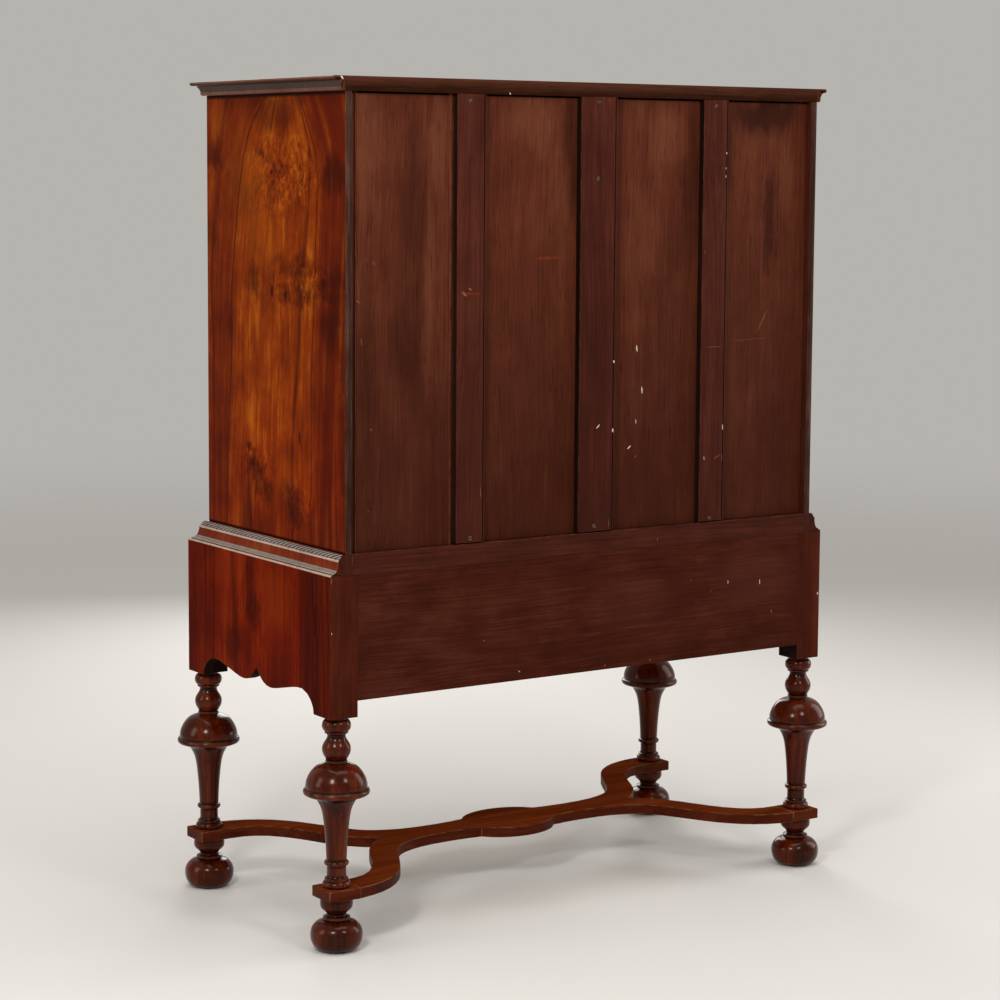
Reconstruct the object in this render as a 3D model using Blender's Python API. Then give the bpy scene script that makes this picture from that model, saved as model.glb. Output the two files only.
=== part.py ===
# Chest on stand: drawers and a panelled back above, turned legs and a flat shaped stretcher below.
# Metres, +Z up, the front faces -Y, the origin is on the floor under the middle of the bounding box.
import math

import bmesh
import bpy

for old in list(bpy.data.objects):
    bpy.data.objects.remove(old, do_unlink=True)

# Overall sizes, the heights stacked from the floor up
FOOT_H = 0.092
PLATE_T = 0.019
SHAFT_H = 0.2995
POST_H = 0.246
WAIST_H = 0.0365
CHEST_H = 0.782
CORNICE_H = 0.025
CHEST_W = 1.030
CHEST_D = 0.500
WAIST_OUT = 0.029
CORNICE_OUT = 0.023
POST = 0.0536
PLATE_HALF = 0.031
CUP_R = 0.058
BUN_R = 0.0456

# Board thicknesses
SIDE_T = 0.020
STAND_T = 0.020
DUST_T = 0.016
TOP_RAIL_T = 0.012
TOP_RAIL_D = 0.040
BOTTOM_T = 0.020
BOTTOM_SHOWS = 0.004
BATTEN_T = 0.013
PANEL_T = 0.008
PANEL_LAP = 0.008
LIP_T = 0.013

# Heights within the stand's frieze
BACK_RAIL_LIFT = 0.0285
APRON_H = 0.0945
STAND_RAIL_H = 0.0165

# Drawers, the chest's rows as shares of the room from the lowest up
ROW_SHARES = (0.304, 0.264, 0.230, 0.202)
FRONT_T = 0.020
BOX_WALL = 0.010
BOX_FLOOR = 0.008
BOX_DROP = 0.008
BOX_BACK_ROOM = 0.020
PULL_SHARE = 0.525
PULL_LIFT = 0.014

# Clearances
GAP = 0.0003
DRAWER_GAP = 0.001

# Drop pull: the pin stands in front of the drawer, the drop hangs on it
PIN_OUT = 0.010
PIN_R = 0.0012
EYE_R = 0.0032
EYE_HALF = 0.0015
EAR_R = 0.0036
EAR_T = 0.0027
SLOT_HALF = EYE_HALF + GAP
SLOT_BACK = EAR_R + GAP
SUNK = 0.002
DROP_R = 0.007
DROP_L = 0.045

# Battens along the back: centres as shares of half the chest's width, and widths
BATTEN_SHARES = (0.510, -0.0165, -0.532)
BATTEN_WIDTHS = (0.059, 0.079, 0.058)

LEG_SIDES = 16
SHARP = math.radians(35)
DROP_SIDES = 8
PIN_SIDES = 10
DOWEL_R = 0.0095
DOWEL_DEPTH = 0.010
DOWEL_ROOM = 0.001
NECK_R = 0.0175

# Places that follow from the sizes
PLATE_BOTTOM = FOOT_H
PLATE_TOP = PLATE_BOTTOM + PLATE_T
POST_Z = PLATE_TOP + SHAFT_H
STAND_TOP = POST_Z + POST_H
WAIST_TOP = STAND_TOP + WAIST_H
TOP_Z = WAIST_TOP + CHEST_H
HEIGHT = TOP_Z + CORNICE_H
FLOOR_Z = WAIST_TOP + BOTTOM_SHOWS
DOWEL_Z = PLATE_BOTTOM - DOWEL_DEPTH
STAND_W = CHEST_W + 2 * WAIST_OUT
STAND_D = CHEST_D + WAIST_OUT
BACK = STAND_D / 2
CHEST_FRONT = BACK - CHEST_D
STAND_FRONT = -BACK
LEG_X = STAND_W / 2 - POST / 2
LEG_Y = STAND_D / 2 - POST / 2
POST_IN_X = STAND_W / 2 - POST
POST_IN_Y = STAND_D / 2 - POST
CHEST_HALF = CHEST_W / 2
INSIDE_X = CHEST_HALF - SIDE_T
INSIDE_BACK = BACK - BATTEN_T - PANEL_T - 2 * GAP

# Turned profiles, bottom to top, as shares of the widest radius and of the piece's height
LEG_SHARES = (
    (0.388, 0.000), (0.422, 0.018), (0.362, 0.042), (0.353, 0.053), (0.286, 0.067), (0.286, 0.127),
    (0.367, 0.137), (0.367, 0.150), (0.303, 0.160), (0.341, 0.297), (0.407, 0.417), (0.483, 0.474),
    (0.621, 0.528), (0.914, 0.546), (1.000, 0.561), (0.931, 0.584), (0.888, 0.634), (0.776, 0.678),
    (0.586, 0.713), (0.328, 0.731), (0.310, 0.748), (0.417, 0.791), (0.422, 0.821), (0.272, 0.883),
    (0.353, 0.908), (0.431, 0.938), (0.422, 0.962), (0.302, 0.987),
)
FOOT_SHARES = (
    (0.614, 0.000), (0.811, 0.054), (0.943, 0.141), (1.000, 0.293), (0.943, 0.435), (0.746, 0.543),
    (0.515, 0.587), (0.515, 0.652), (0.384, 0.685), (0.450, 0.750), (0.603, 0.826), (0.614, 0.935),
    (0.570, 1.000),
)
DROP_SHARES = (
    (0.200, -1.000), (0.429, -0.922), (0.886, -0.833), (1.000, -0.733), (0.829, -0.600), (0.429, -0.356),
    (0.286, -0.178), (0.457, -0.096), (0.200, -0.096), (0.200, -0.049),
)

# Mouldings as shares of their projection and height, bottom to top
CORNICE_SHARES = (
    (0.200, 0.000), (0.300, 0.040), (0.365, 0.120), (0.375, 0.200), (0.350, 0.290), (0.400, 0.400),
    (0.450, 0.500), (0.520, 0.600), (0.610, 0.680), (0.800, 0.715), (0.900, 0.740), (0.985, 0.805),
    (1.000, 0.880), (0.970, 0.965), (0.870, 1.000),
)
WAIST_SHARES = (
    (1.000, 0.000), (0.985, 0.045), (0.930, 0.075), (0.850, 0.085), (0.845, 0.124), (0.727, 0.165),
    (0.616, 0.230), (0.550, 0.326), (0.510, 0.420), (0.480, 0.540), (0.465, 0.680), (0.440, 0.745),
    (0.400, 0.780), (0.350, 0.870), (0.265, 0.955), (0.180, 1.000),
)

# Half of an apron's lower edge: share of its half length from the centre, share of the apron's height
APRON_SHARES = (
    (0.000, 0.508), (0.036, 0.423), (0.074, 0.339), (0.122, 0.270), (0.178, 0.228), (0.236, 0.214),
    (0.293, 0.222), (0.378, 0.257), (0.516, 0.323), (0.616, 0.370), (0.701, 0.400), (0.782, 0.405),
    (0.872, 0.339), (0.929, 0.233), (0.962, 0.127), (0.974, 0.000),
)
TOOTH_HALF = 0.018

# A quarter of the stretcher: platform, bar's outer edge and arm's inner edge as shares of a leg's place
PLATFORM_A = 0.095
PLATFORM_B = 0.074
PLATFORM_END = 0.083
PLATFORM_STEPS = 6
NICK_X = 0.092
NICK_FALL = 0.0015
BAR_EDGE_SHARES = (
    (0.1808, 0.1472), (0.2127, 0.1367), (0.2900, 0.1304), (0.3674, 0.1367), (0.4254, 0.1557),
    (0.4737, 0.1893), (0.5124, 0.2272), (0.5414, 0.2714), (0.5646, 0.3239), (0.5858, 0.3912),
    (0.6071, 0.4712), (0.6303, 0.5637), (0.6555, 0.6647), (0.6825, 0.7657), (0.7135, 0.8582),
    (0.7502, 0.9424), (0.7927, 1.0139), (0.8391, 1.0686), (0.8894, 1.1064),
)
CROTCH_SHARE = 0.553
ARM_EDGE_SHARES = (
    (0.5742, 0.0337), (0.6013, 0.0799), (0.6381, 0.1641), (0.6651, 0.2440), (0.6922, 0.3492),
    (0.7173, 0.4628), (0.7444, 0.5764), (0.7753, 0.6815), (0.8121, 0.7741), (0.8527, 0.8351),
    (0.8952, 0.8633),
)

# Looks: linear colour, roughness, metallic
WALNUT = ((0.150, 0.028, 0.006), 0.30, 0.0)
BACK_WOOD = ((0.080, 0.021, 0.011), 0.50, 0.0)
LEG_WOOD = ((0.070, 0.012, 0.004), 0.25, 0.0)
DRAWER_WOOD = ((0.330, 0.190, 0.095), 0.60, 0.0)
BRASS = ((0.620, 0.400, 0.130), 0.25, 1.0)


def finish(obj, look):
    colour, rough, metal = look
    mat = bpy.data.materials.new(obj.name)
    mat.use_nodes = True
    shader = mat.node_tree.nodes["Principled BSDF"]
    shader.inputs["Base Color"].default_value = (*colour, 1.0)
    shader.inputs["Roughness"].default_value = rough
    shader.inputs["Metallic"].default_value = metal
    obj.data.materials.clear()
    obj.data.materials.append(mat)


def add(name, mesh, place=(0.0, 0.0, 0.0)):
    obj = bpy.data.objects.new(name, mesh)
    obj.location = place
    bpy.context.scene.collection.objects.link(obj)
    return obj


def mesh_of(name, verts, faces, smooth=False):
    bm = bmesh.new()
    made = [bm.verts.new(v) for v in verts]
    for f in faces:
        bm.faces.new([made[i] for i in f])
    bmesh.ops.recalc_face_normals(bm, faces=bm.faces)
    mesh = bpy.data.meshes.new(name)
    bm.to_mesh(mesh)
    bm.free()
    if smooth:
        mesh.shade_smooth()
        mesh.set_sharp_from_angle(angle=SHARP)
    return mesh


def prism_mesh(name, outline, low, high, axis):
    # outline is in the two other axes, in X, Y, Z order
    def put(p, h):
        v = list(p)
        v.insert(axis, h)
        return v
    n = len(outline)
    verts = [put(p, low) for p in outline] + [put(p, high) for p in outline]
    faces = [tuple(range(n)), tuple(range(n, 2 * n))]
    for i in range(n):
        j = (i + 1) % n
        faces.append((i, j, n + j, n + i))
    return mesh_of(name, verts, faces)


def box_mesh(name, low, high):
    outline = ((low[0], low[1]), (high[0], low[1]), (high[0], high[1]), (low[0], high[1]))
    return prism_mesh(name, outline, low[2], high[2], 2)


def box(name, low, high):
    mid = [(a + b) / 2 for a, b in zip(low, high)]
    half = [(b - a) / 2 for a, b in zip(low, high)]
    return add(name, box_mesh(name, [-h for h in half], half), mid)


def lathe_mesh(name, profile, sides):
    verts = []
    for r, z in profile:
        for k in range(sides):
            a = 2 * math.pi * (k + 0.5) / sides
            verts.append((r * math.cos(a), r * math.sin(a), z))
    faces = [tuple(range(sides))]
    for i in range(len(profile) - 1):
        for k in range(sides):
            n = (k + 1) % sides
            faces.append((i * sides + k, i * sides + n, (i + 1) * sides + n, (i + 1) * sides + k))
    faces.append(tuple(range((len(profile) - 1) * sides, len(profile) * sides)))
    return mesh_of(name, verts, faces, smooth=True)


def ring(r, sides):
    turns = [2 * math.pi * k / sides for k in range(sides)]
    return [(r * math.cos(a), r * math.sin(a)) for a in turns]


def tray_mesh(name, low, high, wall, floor):
    # sides, back and bottom of a drawer, open at the top and at the front
    x, xi = (low[0], high[0]), (low[0] + wall, high[0] - wall)
    y, yi = (low[1], high[1]), (low[1], high[1] - wall)
    z, zi = (low[2], high[2]), (low[2] + floor, high[2])
    verts = [(a, b, c) for a in x for b in y for c in z] + [(a, b, c) for a in xi for b in yi for c in zi]
    faces = (
        (1, 9, 11, 15, 13, 5, 7, 3), (0, 4, 5, 13, 12, 8, 9, 1), (0, 2, 6, 4), (0, 1, 3, 2), (4, 6, 7, 5),
        (2, 3, 7, 6), (8, 10, 11, 9), (12, 13, 15, 14), (10, 14, 15, 11), (8, 12, 14, 10),
    )
    return mesh_of(name, verts, faces)


def combine(obj, other, operation):
    mod = obj.modifiers.new(operation.lower(), "BOOLEAN")
    mod.operation = operation
    mod.solver = "EXACT"
    mod.object = other
    other.hide_render = True
    other.display_type = "WIRE"


def settled(name, obj, smooth=False):
    # the mesh that the object's modifiers leave, for use by several objects
    graph = bpy.context.evaluated_depsgraph_get()
    mesh = bpy.data.meshes.new_from_object(obj.evaluated_get(graph))
    mesh.name = name
    helpers = [obj] + [m.object for m in obj.modifiers]
    for h in helpers:
        bpy.data.objects.remove(h, do_unlink=True)
    if smooth:
        mesh.shade_smooth()
        mesh.set_sharp_from_angle(angle=SHARP)
    return mesh


def moulding(name, profile, foot_z, start, end, edge, axis, sign):
    # a length along one axis; each end is a number, or a mitre when it grows with the distance out
    verts = []
    for base, grow in (start, end):
        for out, z in profile:
            along = base + grow * out
            across = edge + sign * out
            verts.append((along, across, foot_z + z) if axis == 0 else (across, along, foot_z + z))
    n = len(profile)
    faces = [tuple(range(n)), tuple(range(n, 2 * n))]
    for i in range(n):
        j = (i + 1) % n
        faces.append((i, j, n + j, n + i))
    return add(name, mesh_of(name, verts, faces))


def apron_outline(low, high, top, teeth):
    # the lower edge repeats one arched motif between teeth, closed by a straight top
    span = (high - low - 2 * TOOTH_HALF * (teeth - 1)) / teeth
    edge = []
    for i in range(teeth):
        mid = low + span / 2 + i * (span + 2 * TOOTH_HALF)
        half = span / 2
        edge += [(mid - half * d, POST_Z + APRON_H * h) for d, h in reversed(APRON_SHARES)]
        edge += [(mid + half * d, POST_Z + APRON_H * h) for d, h in APRON_SHARES[1:]]
    return [(low, POST_Z)] + edge + [(high, POST_Z), (high, top), (low, top)]


def stretcher_outline():
    outer = []
    for i in range(PLATFORM_STEPS + 1):
        x = PLATFORM_END * i / PLATFORM_STEPS
        outer.append((x, PLATFORM_B * math.sqrt(1 - (x / PLATFORM_A) ** 2)))
    outer.append((NICK_X, outer[-1][1] - NICK_FALL))
    near, far = LEG_X - PLATE_HALF, LEG_X + PLATE_HALF
    plate = [(near, LEG_Y + PLATE_HALF), (far, LEG_Y + PLATE_HALF)]
    plate += [(far, LEG_Y - PLATE_HALF), (near, LEG_Y - PLATE_HALF)]
    bar = [(LEG_X * a, LEG_Y * b) for a, b in BAR_EDGE_SHARES]
    arm = [(LEG_X * a, LEG_Y * b) for a, b in reversed(ARM_EDGE_SHARES)]
    quarter = outer + bar + plate + arm
    right = quarter + [(LEG_X * CROTCH_SHARE, 0.0)] + [(x, -y) for x, y in reversed(quarter)]
    left = [(-x, y) for x, y in reversed(right)]
    return right + left[1:-1]


# Legs, each one piece of wood: square post over the turned shaft, with a stub tenon into the foot
turning = [(CUP_R * r, PLATE_TOP + GAP + (SHAFT_H - GAP) * share) for r, share in LEG_SHARES]
turning = [(DOWEL_R, DOWEL_Z), (DOWEL_R, PLATE_TOP + GAP)] + turning + [(NECK_R, POST_Z + SUNK)]
leg = add("leg_blank", lathe_mesh("leg_blank", turning, LEG_SIDES))
post_half = POST / 2
post = add("post", box_mesh("post", (-post_half, -post_half, POST_Z), (post_half, post_half, STAND_TOP)))
combine(leg, post, "UNION")
leg_mesh = settled("leg", leg, smooth=True)

socket_r = DOWEL_R + GAP
turning = [(BUN_R * r, (FOOT_H - GAP) * share) for r, share in FOOT_SHARES]
foot = add("foot_blank", lathe_mesh("foot_blank", turning, LEG_SIDES))
socket_profile = ((socket_r, DOWEL_Z - DOWEL_ROOM), (socket_r, PLATE_TOP))
combine(foot, add("socket", lathe_mesh("socket", socket_profile, LEG_SIDES)), "DIFFERENCE")
foot_mesh = settled("foot", foot, smooth=True)

for fb, sy in (("front", -1), ("back", 1)):
    for lr, sx in (("left", -1), ("right", 1)):
        spot = (sx * LEG_X, sy * LEG_Y, 0.0)
        finish(add(f"leg_{fb}_{lr}", leg_mesh.copy(), spot), LEG_WOOD)
        finish(add(f"foot_{fb}_{lr}", foot_mesh.copy(), spot), LEG_WOOD)

# Stretcher, with a hole in each plate for the leg's tenon
plan = prism_mesh("stretcher", stretcher_outline(), PLATE_BOTTOM, PLATE_TOP, 2)
stretcher = add("stretcher", plan)
hole_profile = ((socket_r, PLATE_BOTTOM - PLATE_T), (socket_r, PLATE_TOP + PLATE_T))
hole_mesh = lathe_mesh("hole", hole_profile, LEG_SIDES)
for sx in (-1, 1):
    for sy in (-1, 1):
        combine(stretcher, add("hole", hole_mesh, (sx * LEG_X, sy * LEG_Y, 0.0)), "DIFFERENCE")
finish(stretcher, LEG_WOOD)

# Stand: shaped sides and front between the posts, back rail, rail over the drawer, dust board under it
side_y = POST_IN_Y - GAP
for lr, sx in (("left", -1), ("right", 1)):
    xs = sorted((sx * STAND_W / 2, sx * (STAND_W / 2 - STAND_T)))
    edge = apron_outline(-side_y, side_y, STAND_TOP, 1)
    side = add(f"stand_side_{lr}", prism_mesh(f"stand_side_{lr}", edge, xs[0], xs[1], 0))
    finish(side, WALNUT)

rail_x = POST_IN_X - GAP
rail = box("stand_back_rail", (-rail_x, BACK - STAND_T, POST_Z + BACK_RAIL_LIFT), (rail_x, BACK, STAND_TOP))
finish(rail, BACK_WOOD)

drawer_low, drawer_high = POST_Z + APRON_H, STAND_TOP - STAND_RAIL_H
edge = apron_outline(-rail_x, rail_x, drawer_low, 2)
apron_mesh = prism_mesh("stand_front_apron", edge, STAND_FRONT, STAND_FRONT + STAND_T, 1)
finish(add("stand_front_apron", apron_mesh), WALNUT)
over = box("stand_top_rail", (-rail_x, STAND_FRONT, drawer_high), (rail_x, STAND_FRONT + STAND_T, STAND_TOP))
finish(over, WALNUT)
dust_front, dust_back = STAND_FRONT + STAND_T + GAP, BACK - STAND_T - GAP
board = box("stand_dust_board", (-rail_x, dust_front, drawer_low - DUST_T), (rail_x, dust_back, drawer_low))
finish(board, DRAWER_WOOD)

# Waist moulding on the stand and cornice round the top: front and two sides, mitred at the front corners
strips = (
    ("waist_moulding", WAIST_SHARES, WAIST_OUT, WAIST_H, STAND_TOP),
    ("cornice", CORNICE_SHARES, CORNICE_OUT, CORNICE_H, TOP_Z),
)
for name, shares, out, high, foot_z in strips:
    profile = [(GAP, GAP)] + [(out * a, GAP + (high - GAP) * b) for a, b in shares] + [(GAP, high)]
    ends = ((-CHEST_HALF + GAP, -1), (CHEST_HALF - GAP, 1))
    strip = moulding(f"{name}_front", profile, foot_z, *ends, CHEST_FRONT, 0, -1)
    finish(strip, WALNUT)
    for lr, sx in (("left", -1), ("right", 1)):
        ends = ((CHEST_FRONT + GAP, -1), (BACK, 0))
        strip = moulding(f"{name}_{lr}", profile, foot_z, *ends, sx * CHEST_HALF, 1, sx)
        finish(strip, WALNUT)

# Chest carcase: rebated sides, top, bottom, base rail at the back
for lr, sx in (("left", -1), ("right", 1)):
    outline = [(CHEST_HALF, CHEST_FRONT), (CHEST_HALF, BACK), (CHEST_HALF - LIP_T, BACK)]
    outline += [(CHEST_HALF - LIP_T, INSIDE_BACK), (INSIDE_X, INSIDE_BACK), (INSIDE_X, CHEST_FRONT)]
    plan = [(sx * x, y) for x, y in outline]
    side = add(f"chest_side_{lr}", prism_mesh(f"chest_side_{lr}", plan, STAND_TOP + GAP, TOP_Z, 2))
    finish(side, WALNUT)

top = box("chest_top", (-CHEST_HALF, CHEST_FRONT, TOP_Z + GAP), (CHEST_HALF, BACK, HEIGHT))
finish(top, WALNUT)
board_x = INSIDE_X - GAP
bottom = box("chest_bottom", (-board_x, CHEST_FRONT, FLOOR_Z - BOTTOM_T), (board_x, INSIDE_BACK, FLOOR_Z))
finish(bottom, DRAWER_WOOD)
lip_x = CHEST_HALF - LIP_T - GAP
strip = box("chest_base_rail", (-lip_x, INSIDE_BACK + GAP, STAND_TOP + GAP), (lip_x, BACK, WAIST_TOP))
finish(strip, BACK_WOOD)

# Back: battens of T section, with the panels' edges tucked behind their lips
back_z = (WAIST_TOP + GAP, TOP_Z)
lip_y = BACK - BATTEN_T
panel_x = [lip_x]
for i, (share, width) in enumerate(zip(BATTEN_SHARES, BATTEN_WIDTHS)):
    mid = CHEST_HALF * share
    half, core = width / 2, width / 2 - PANEL_LAP
    plan = [(half, BACK), (-half, BACK), (-half, lip_y), (-core, lip_y), (-core, INSIDE_BACK + GAP)]
    plan += [(core, INSIDE_BACK + GAP), (core, lip_y), (half, lip_y)]
    mesh = prism_mesh(f"back_batten_{i + 1}", plan, *back_z, 2)
    finish(add(f"back_batten_{i + 1}", mesh, (mid, 0.0, 0.0)), BACK_WOOD)
    panel_x += [mid + core + GAP, mid - core - GAP]
panel_x.append(-lip_x)
for i in range(len(BATTEN_WIDTHS) + 1):
    low = (panel_x[2 * i + 1], INSIDE_BACK + GAP, back_z[0])
    high = (panel_x[2 * i], lip_y - GAP, back_z[1])
    finish(box(f"back_panel_{i + 1}", low, high), BACK_WOOD)

# Dust boards between the rows, rail under the top and the partition between the short drawers
rows = []
z = FLOOR_Z
room = TOP_Z - TOP_RAIL_T - FLOOR_Z - DUST_T * (len(ROW_SHARES) - 1)
for i, share in enumerate(ROW_SHARES):
    high = room * share
    rows.append((z, z + high))
    z += high
    if i < len(ROW_SHARES) - 1:
        board = box(f"dust_board_{i + 1}", (-board_x, CHEST_FRONT, z), (board_x, INSIDE_BACK, z + DUST_T))
        finish(board, DRAWER_WOOD)
        z += DUST_T
rail = box("chest_top_rail", (-board_x, CHEST_FRONT, z), (board_x, CHEST_FRONT + TOP_RAIL_D, TOP_Z))
finish(rail, WALNUT)
part_half = DUST_T / 2
wall_low = (-part_half, CHEST_FRONT, rows[-1][0] + GAP)
finish(box("drawer_partition", wall_low, (part_half, INSIDE_BACK, rows[-1][1] - GAP)), WALNUT)

# The staple a drop hangs on: two ears with a pin across, made once with its origin on the pin
ear_edge = [(PIN_OUT + SUNK, -EAR_R), (PIN_OUT + SUNK, EAR_R)]
for k in range(DROP_SIDES + 1):
    a = math.pi * (0.5 + k / DROP_SIDES)
    ear_edge.append((EAR_R * math.cos(a), EAR_R * math.sin(a)))
ear_half = SLOT_HALF + EAR_T
staple = add("staple", prism_mesh("staple", ear_edge, -ear_half, ear_half, 0))
slot_low, slot_high = (-SLOT_HALF, -2 * EAR_R, -2 * EAR_R), (SLOT_HALF, SLOT_BACK, 2 * EAR_R)
combine(staple, add("slot", box_mesh("slot", slot_low, slot_high)), "DIFFERENCE")
pin_half = SLOT_HALF + EAR_T / 2
pin = add("pin", prism_mesh("pin", ring(PIN_R, PIN_SIDES), -pin_half, pin_half, 0))
combine(staple, pin, "UNION")
staple_mesh = settled("staple", staple)

# The drop: a pear below a flat eye round the pin
turning = [(DROP_R * r, DROP_L * share) for r, share in DROP_SHARES]
drop = add("drop", lathe_mesh("drop", turning, DROP_SIDES))
eye = add("eye", prism_mesh("eye", ring(EYE_R, PIN_SIDES), -EYE_HALF, EYE_HALF, 0))
combine(drop, eye, "UNION")
bore = add("bore", prism_mesh("bore", ring(PIN_R + GAP, PIN_SIDES), -4 * EYE_HALF, 4 * EYE_HALF, 0))
combine(drop, bore, "DIFFERENCE")
drop_mesh = settled("drop", drop, smooth=True)


def drawer(name, low, high, front_y, back_y, pulls):
    # front and box share an origin at the middle of the front's face; each pull has its origin on its pin
    mid = ((low[0] + high[0]) / 2, front_y, (low[1] + high[1]) / 2)
    half_x, half_z = (high[0] - low[0]) / 2 - DRAWER_GAP, (high[1] - low[1]) / 2
    base, head = GAP - half_z, half_z - DRAWER_GAP
    board_mesh = box_mesh(f"{name}_front", (-half_x, 0.0, base), (half_x, FRONT_T, head))
    front = add(f"{name}_front", board_mesh, mid)
    box_low = (-half_x, FRONT_T + GAP, base)
    box_high = (half_x, back_y - front_y, head - BOX_DROP)
    tray = tray_mesh(f"{name}_box", box_low, box_high, BOX_WALL, BOX_FLOOR)
    finish(add(f"{name}_box", tray, mid), DRAWER_WOOD)
    for tag, x in pulls:
        spot = (mid[0] + x, front_y - PIN_OUT, mid[2] + PULL_LIFT)
        combine(front, add("staple", staple_mesh, spot), "UNION")
        finish(add(f"{name}_drop{tag}", drop_mesh.copy(), spot), BRASS)
    finish(front, WALNUT)


pull_x = INSIDE_X * PULL_SHARE
both = (("_left", -pull_x), ("_right", pull_x))
box_back = INSIDE_BACK - BOX_BACK_ROOM
for i, (low, high) in enumerate(rows[:-1]):
    long_low, long_high = (-INSIDE_X, low), (INSIDE_X, high)
    drawer(f"drawer_long_{i + 1}", long_low, long_high, CHEST_FRONT, box_back, both)
low, high = rows[-1]
drawer("drawer_short_left", (-INSIDE_X, low), (-part_half, high), CHEST_FRONT, box_back, (("", 0.0),))
drawer("drawer_short_right", (part_half, low), (INSIDE_X, high), CHEST_FRONT, box_back, (("", 0.0),))
stand_low, stand_high = (-POST_IN_X, drawer_low), (POST_IN_X, drawer_high)
drawer("drawer_stand", stand_low, stand_high, STAND_FRONT, dust_back - BOX_BACK_ROOM, both)
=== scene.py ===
# Chest on stand: the visual model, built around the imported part.
# Metres, +Z up, the front faces -Y. Places come from the frame's boxes.
import bisect
import math
import random

import bmesh
import bpy
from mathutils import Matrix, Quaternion, Vector


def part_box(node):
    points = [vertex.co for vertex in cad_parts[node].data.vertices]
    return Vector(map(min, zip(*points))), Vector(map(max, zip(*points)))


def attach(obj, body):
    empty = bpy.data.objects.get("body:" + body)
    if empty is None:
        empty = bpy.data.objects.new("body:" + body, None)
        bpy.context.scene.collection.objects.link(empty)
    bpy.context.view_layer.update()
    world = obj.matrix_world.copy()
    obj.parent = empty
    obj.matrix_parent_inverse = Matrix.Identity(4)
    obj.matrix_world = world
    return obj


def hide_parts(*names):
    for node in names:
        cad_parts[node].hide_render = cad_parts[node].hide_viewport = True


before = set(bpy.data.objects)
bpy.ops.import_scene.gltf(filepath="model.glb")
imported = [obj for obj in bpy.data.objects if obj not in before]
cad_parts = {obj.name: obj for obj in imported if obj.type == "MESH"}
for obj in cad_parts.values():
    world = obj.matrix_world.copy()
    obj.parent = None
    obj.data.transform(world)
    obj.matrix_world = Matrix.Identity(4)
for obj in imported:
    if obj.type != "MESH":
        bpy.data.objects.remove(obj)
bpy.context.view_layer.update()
draw = random.Random(11)

# Turned profiles and the tables of features, screws and marks are in millimetres, colours in thousandths
MM = 0.001

# Camera: the photograph's viewpoint, in a frame of 1000 x 1000 pixels
IMAGE = 1000
SENSOR = 36.0
EYE = (2.7056, 3.9984, 1.3498)
YAW = 0.5909
PITCH = -0.1057
ROLL = 0.0064
FOCAL_PIXELS = 2572.4
SHIFT = -0.06

# Mesh working values
WELD = 1e-5
FLAT = math.radians(0.5)
CREASE = math.radians(28)
TURN_SHARP = math.radians(38)
TURN_SIDES = 72
# How far the marks of ridges and creases on turned pieces reach: ridges show wear, creases get painted shade
CREASE_SHADE_REACH = 0.003
CREASE_SHADE_SHARE = 0.45
FULL_BEND = 0.8
SMOOTH_STEPS = 4
GAP = 0.0003
TREE = 20.0
ORIGIN = (0.0, 0.0, 0.0)
FORWARD = (0.0, -1.0, 0.0)
SIDES = (("left", -1), ("right", 1))

# Edges of boards, worn round
EDGE = 0.0012
FINE_EDGE = 0.0007
WORN_SHARE = 0.3

# Turned profiles: smooth runs of (radius, height), above the stretcher for the leg and the floor for the foot
LEG_RUNS = (
    ((22.5, 0.3), (24.5, 3.5), (24.3, 7.8), (22, 11.3)),
    ((20.8, 12.2), (20.8, 16)),
    ((20.8, 16), (18, 17.8), (16.6, 20.5)),
    ((16.6, 20.5), (16.6, 37.2)),
    ((17.2, 38.4), (20.5, 40), (21.6, 43), (20.5, 46), (17.6, 47.6)),
    ((17.6, 49), (18.6, 71), (20, 92), (21.9, 111.5), (23.8, 126.2), (26.2, 137.2), (29.8, 146.2),
     (36.5, 157), (44, 161.2)),
    ((44, 161.2), (52, 163), (56.8, 165.6), (58, 169.3), (56.8, 172.8), (54, 174.8)),
    ((53.8, 175.2), (53.6, 182), (51.5, 190.3), (47.2, 199.2), (40.8, 207.8), (33, 213.7), (20, 218.6)),
    ((19.2, 219), (19.2, 223.6)),
    ((17.2, 224.4), (20.5, 229.2), (23.8, 235.8), (25, 242.5), (24, 249), (21, 255), (17.5, 260.5),
     (15.8, 264.8)),
    ((15.8, 264.8), (16.8, 269), (20.5, 271.3)),
    ((20.5, 271.3), (20.5, 274)),
    ((20.5, 274), (24, 278.4), (25.2, 284), (24.2, 289.6), (21.2, 293.8), (17.8, 295)),
    ((17.8, 295), (17.8, 301.2)),
)
FOOT_RUNS = (
    ((0, 0), (26, 0)),
    ((26, 0), (37, 5.2), (42.4, 12.2), (45, 20.3), (45.6, 28), (44.4, 36.2), (40.4, 43.7), (33.6, 49.8),
     (25, 53.2)),
    ((23.5, 54), (24, 56), (23.5, 58.8)),
    ((20.5, 60.2), (17.4, 61.8), (17.6, 65.2), (21.2, 69.4)),
    ((22.2, 70.2), (26.6, 74.5), (28.4, 79.5), (28.4, 86), (27, 91.7)),
)

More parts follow.
